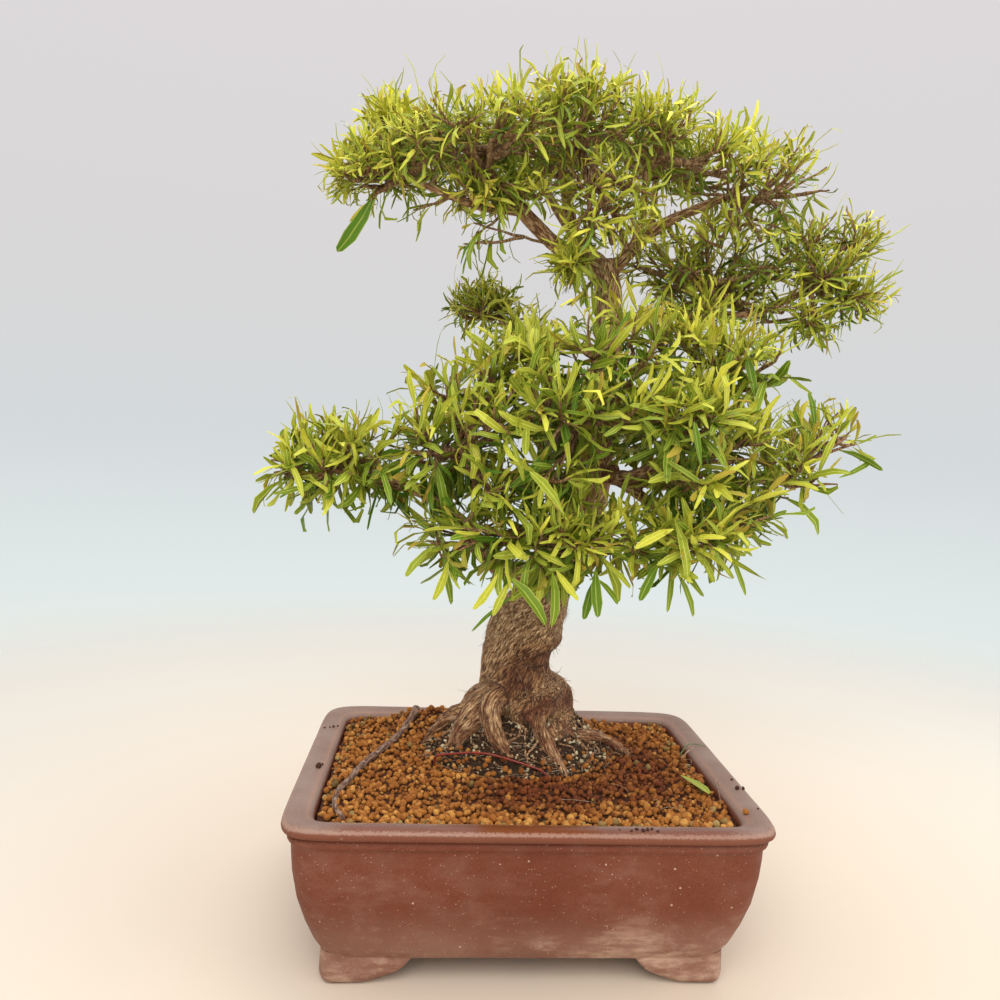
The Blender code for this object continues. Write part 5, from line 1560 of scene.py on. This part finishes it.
def makeLooseRoot():
    rng = np.random.default_rng(21)
    line = smoothLine(looseRootLine, 8)
    line[:, 2] = np.maximum(line[:, 2], bedHeight(line[:, 0], line[:, 1]) + 2.4) + 0.4
    # both ends dip into the bed
    line[:4, 2] -= (7.5, 4.5, 2.0, 0.5)
    line[-3:, 2] -= (0.5, 1.6, 3.4)
    line = toFrame(line) + rng.normal(0, 0.00016, line.shape)
    radii = np.linspace(3.0, 1.4, len(line)) * mm * (1 + 0.10 * np.sin(np.arange(len(line)) * 0.9))
    # its fibres run along it
    travelled = lengthsAlong(line)
    around, reach = np.tile(circle(12), len(line)), np.repeat(radii, 12)
    along = np.stack([np.cos(around) * reach, np.sin(around) * reach, np.repeat(travelled, 12)], -1)
    along = np.vstack([along, [[0, 0, 0], [0, 0, travelled[-1]]]])
    shapes = Shapes()
    shapes.addBark(tubeShape(line, radii, 12), 0.35, 0.10, along)
    look = dict(woodLook, middle=(0.290, 0.180, 0.125), light=(0.52, 0.39, 0.30))
    makePiece("looseRoot", shapes, makeBark("dryRoot", look), ["loose_root"])


def makeWire():
    shapes = Shapes()
    shapes.add(*tubeShape(toFrame(smoothLine(wireLine, 8)), 0.8 * mm, 12))
    material, coat, shader = startMaterial("redWireCoat", 0.42)
    shader.inputs["Coat Weight"].default_value = 0.12
    worn = coat.patches(coat.space(), 160.0, 0.52, 0.15)
    coat.feed(shader.inputs["Base Color"], coat.mix(worn, (0.270, 0.024, 0.010), (0.095, 0.012, 0.007)))
    makePiece("anchorWire", shapes, material, ["anchor_wire"])


# Bits of soil on the rim: place round the pot's centre in millimetres, size, and kind, 0 humus or 1 granule
rimBits = [
    (-138.0, -20.0, 4.4, 0), (-136.0, -17.5, 2.6, 0), (-145.0, 55.2, 2.2, 0), (-141.0, 57.2, 1.6, 0),
    (-138.5, 58.6, 2.4, 0), (-135.3, 60.3, 2.0, 0), (143.0, -47.5, 4.6, 0), (147.0, -47.4, 3.0, 0),
    (144.5, -32.5, 2.4, 0), (145.4, -78.1, 1.8, 0), (135.6, -82.7, 4.2, 1), (56.9, -110.7, 2.2, 0),
    (60.5, -108.8, 2.6, 0), (64.0, -110.4, 3.0, 0), (66.8, -109.6, 3.4, 0), (69.5, -108.4, 2.4, 0),
    (72.5, -110.6, 2.0, 0), (50.0, -109.5, 1.6, 0),
]


def makeRimBits():
    rng = np.random.default_rng(41)
    bits = np.array(rimBits)
    centres = np.column_stack([bits[:, :2], 108.4 + bits[:, 2] * 0.16])
    values = np.column_stack([np.full(len(bits), 0.4), bits[:, 3], np.zeros(len(bits))])
    shapes = Shapes()
    addLumps(shapes, rng, toFrame(centres), bits[:, 2] * mm, 2, 0.6, values)
    material = makeEarth("rimDirt", [bedLook["rimDirt"], bedLook["dry"]], 0.95, 1500.0)
    makePiece("rimBits", shapes, material)


# Thin dry roots and a blade of grass on the bed, in millimetres: points and thickness
straws = [
    ([(122, 11, 107), (128, 18, 109), (135, 25, 110)], 0.9),
    ([(122.6, 7.5, 107), (126, 3, 109), (125, -2, 108)], 0.5),
    ([(125, -2, 107), (120, -6, 108), (122, -13, 107), (126, -22, 107)], 0.45),
    ([(134.7, -31.7, 109.5), (130.5, -40, 110.5), (128.8, -50, 110), (125.8, -65.5, 106)], 0.5),
    ([(82.3, -60.9, 106), (84.5, -65, 107.5), (82, -71, 106)], 0.5),
    ([(84.1, -74.2, 106), (90, -74.5, 107.5), (98, -77.7, 106)], 0.45),
    ([(60, -36, 106), (66, -44, 107.5), (69, -52, 106)], 0.4),
    ([(22, -62, 106), (32, -66, 107.4), (44, -66, 106)], 0.45),
]
grassBlade = [(124, 21, 106), (130, 27, 110.4), (137, 30, 110.8), (145, 27, 110)]


def makeStraws():
    shapes, grass = Shapes(), Shapes()
    for points, thickness in straws:
        line = toFrame(smoothLine(points, 5))
        shapes.addBark(tubeShape(line, np.linspace(thickness, thickness * 0.6, len(line)) * mm / 2, 6), 0.1)
    line = toFrame(smoothLine(grassBlade, 5))
    grass.add(*tubeShape(line, np.linspace(0.5, 0.25, len(line)) * mm, 6))
    makePiece("driedRoots", shapes, makeBark("driedRootSkin", hairLook))
    makePiece("grassBlade", grass, plainFinish("grassSkin", (0.110, 0.190, 0.050), 0.5, 0.0001))


def makeFallenLeaf():
    root, tip = toFrame(fallenLeaf["root"]), toFrame(fallenLeaf["tip"])
    one = {
        "root": root, "along": unit(tip - root), "upper": (0.25, -0.35, 1.0),
        "length": np.linalg.norm(tip - root), "width": fallenLeaf["width"] * mm,
        "bend": 0.12, "curl": 0.0, "sway": 0.35, "twist": 0.2,
        "phase": 0.0, "fold": 0.12, "tone": 0.55, "age": 1.0, "shade": 0.66,
    }
    shapes = Shapes()
    addLeaves(shapes, {label: np.array([value], float) for label, value in one.items()})
    makePiece("fallenLeaf", shapes, bpy.data.materials["figLeaf"], ["fallen_leaf"], 55)


makeLooseRoot()
makeWire()
makeFallenLeaf()
makeRimBits()
makeStraws()
screenFinish = plainFinish("screenPlastic", (0.020, 0.020, 0.020), 0.55, 0.0001)
for nodeName in ("drain_screen_left", "drain_screen_right"):
    screen = frame["nodes"][nodeName]
    screen.data.materials.clear()
    screen.data.materials.append(screenFinish)
print("small pieces are in place")
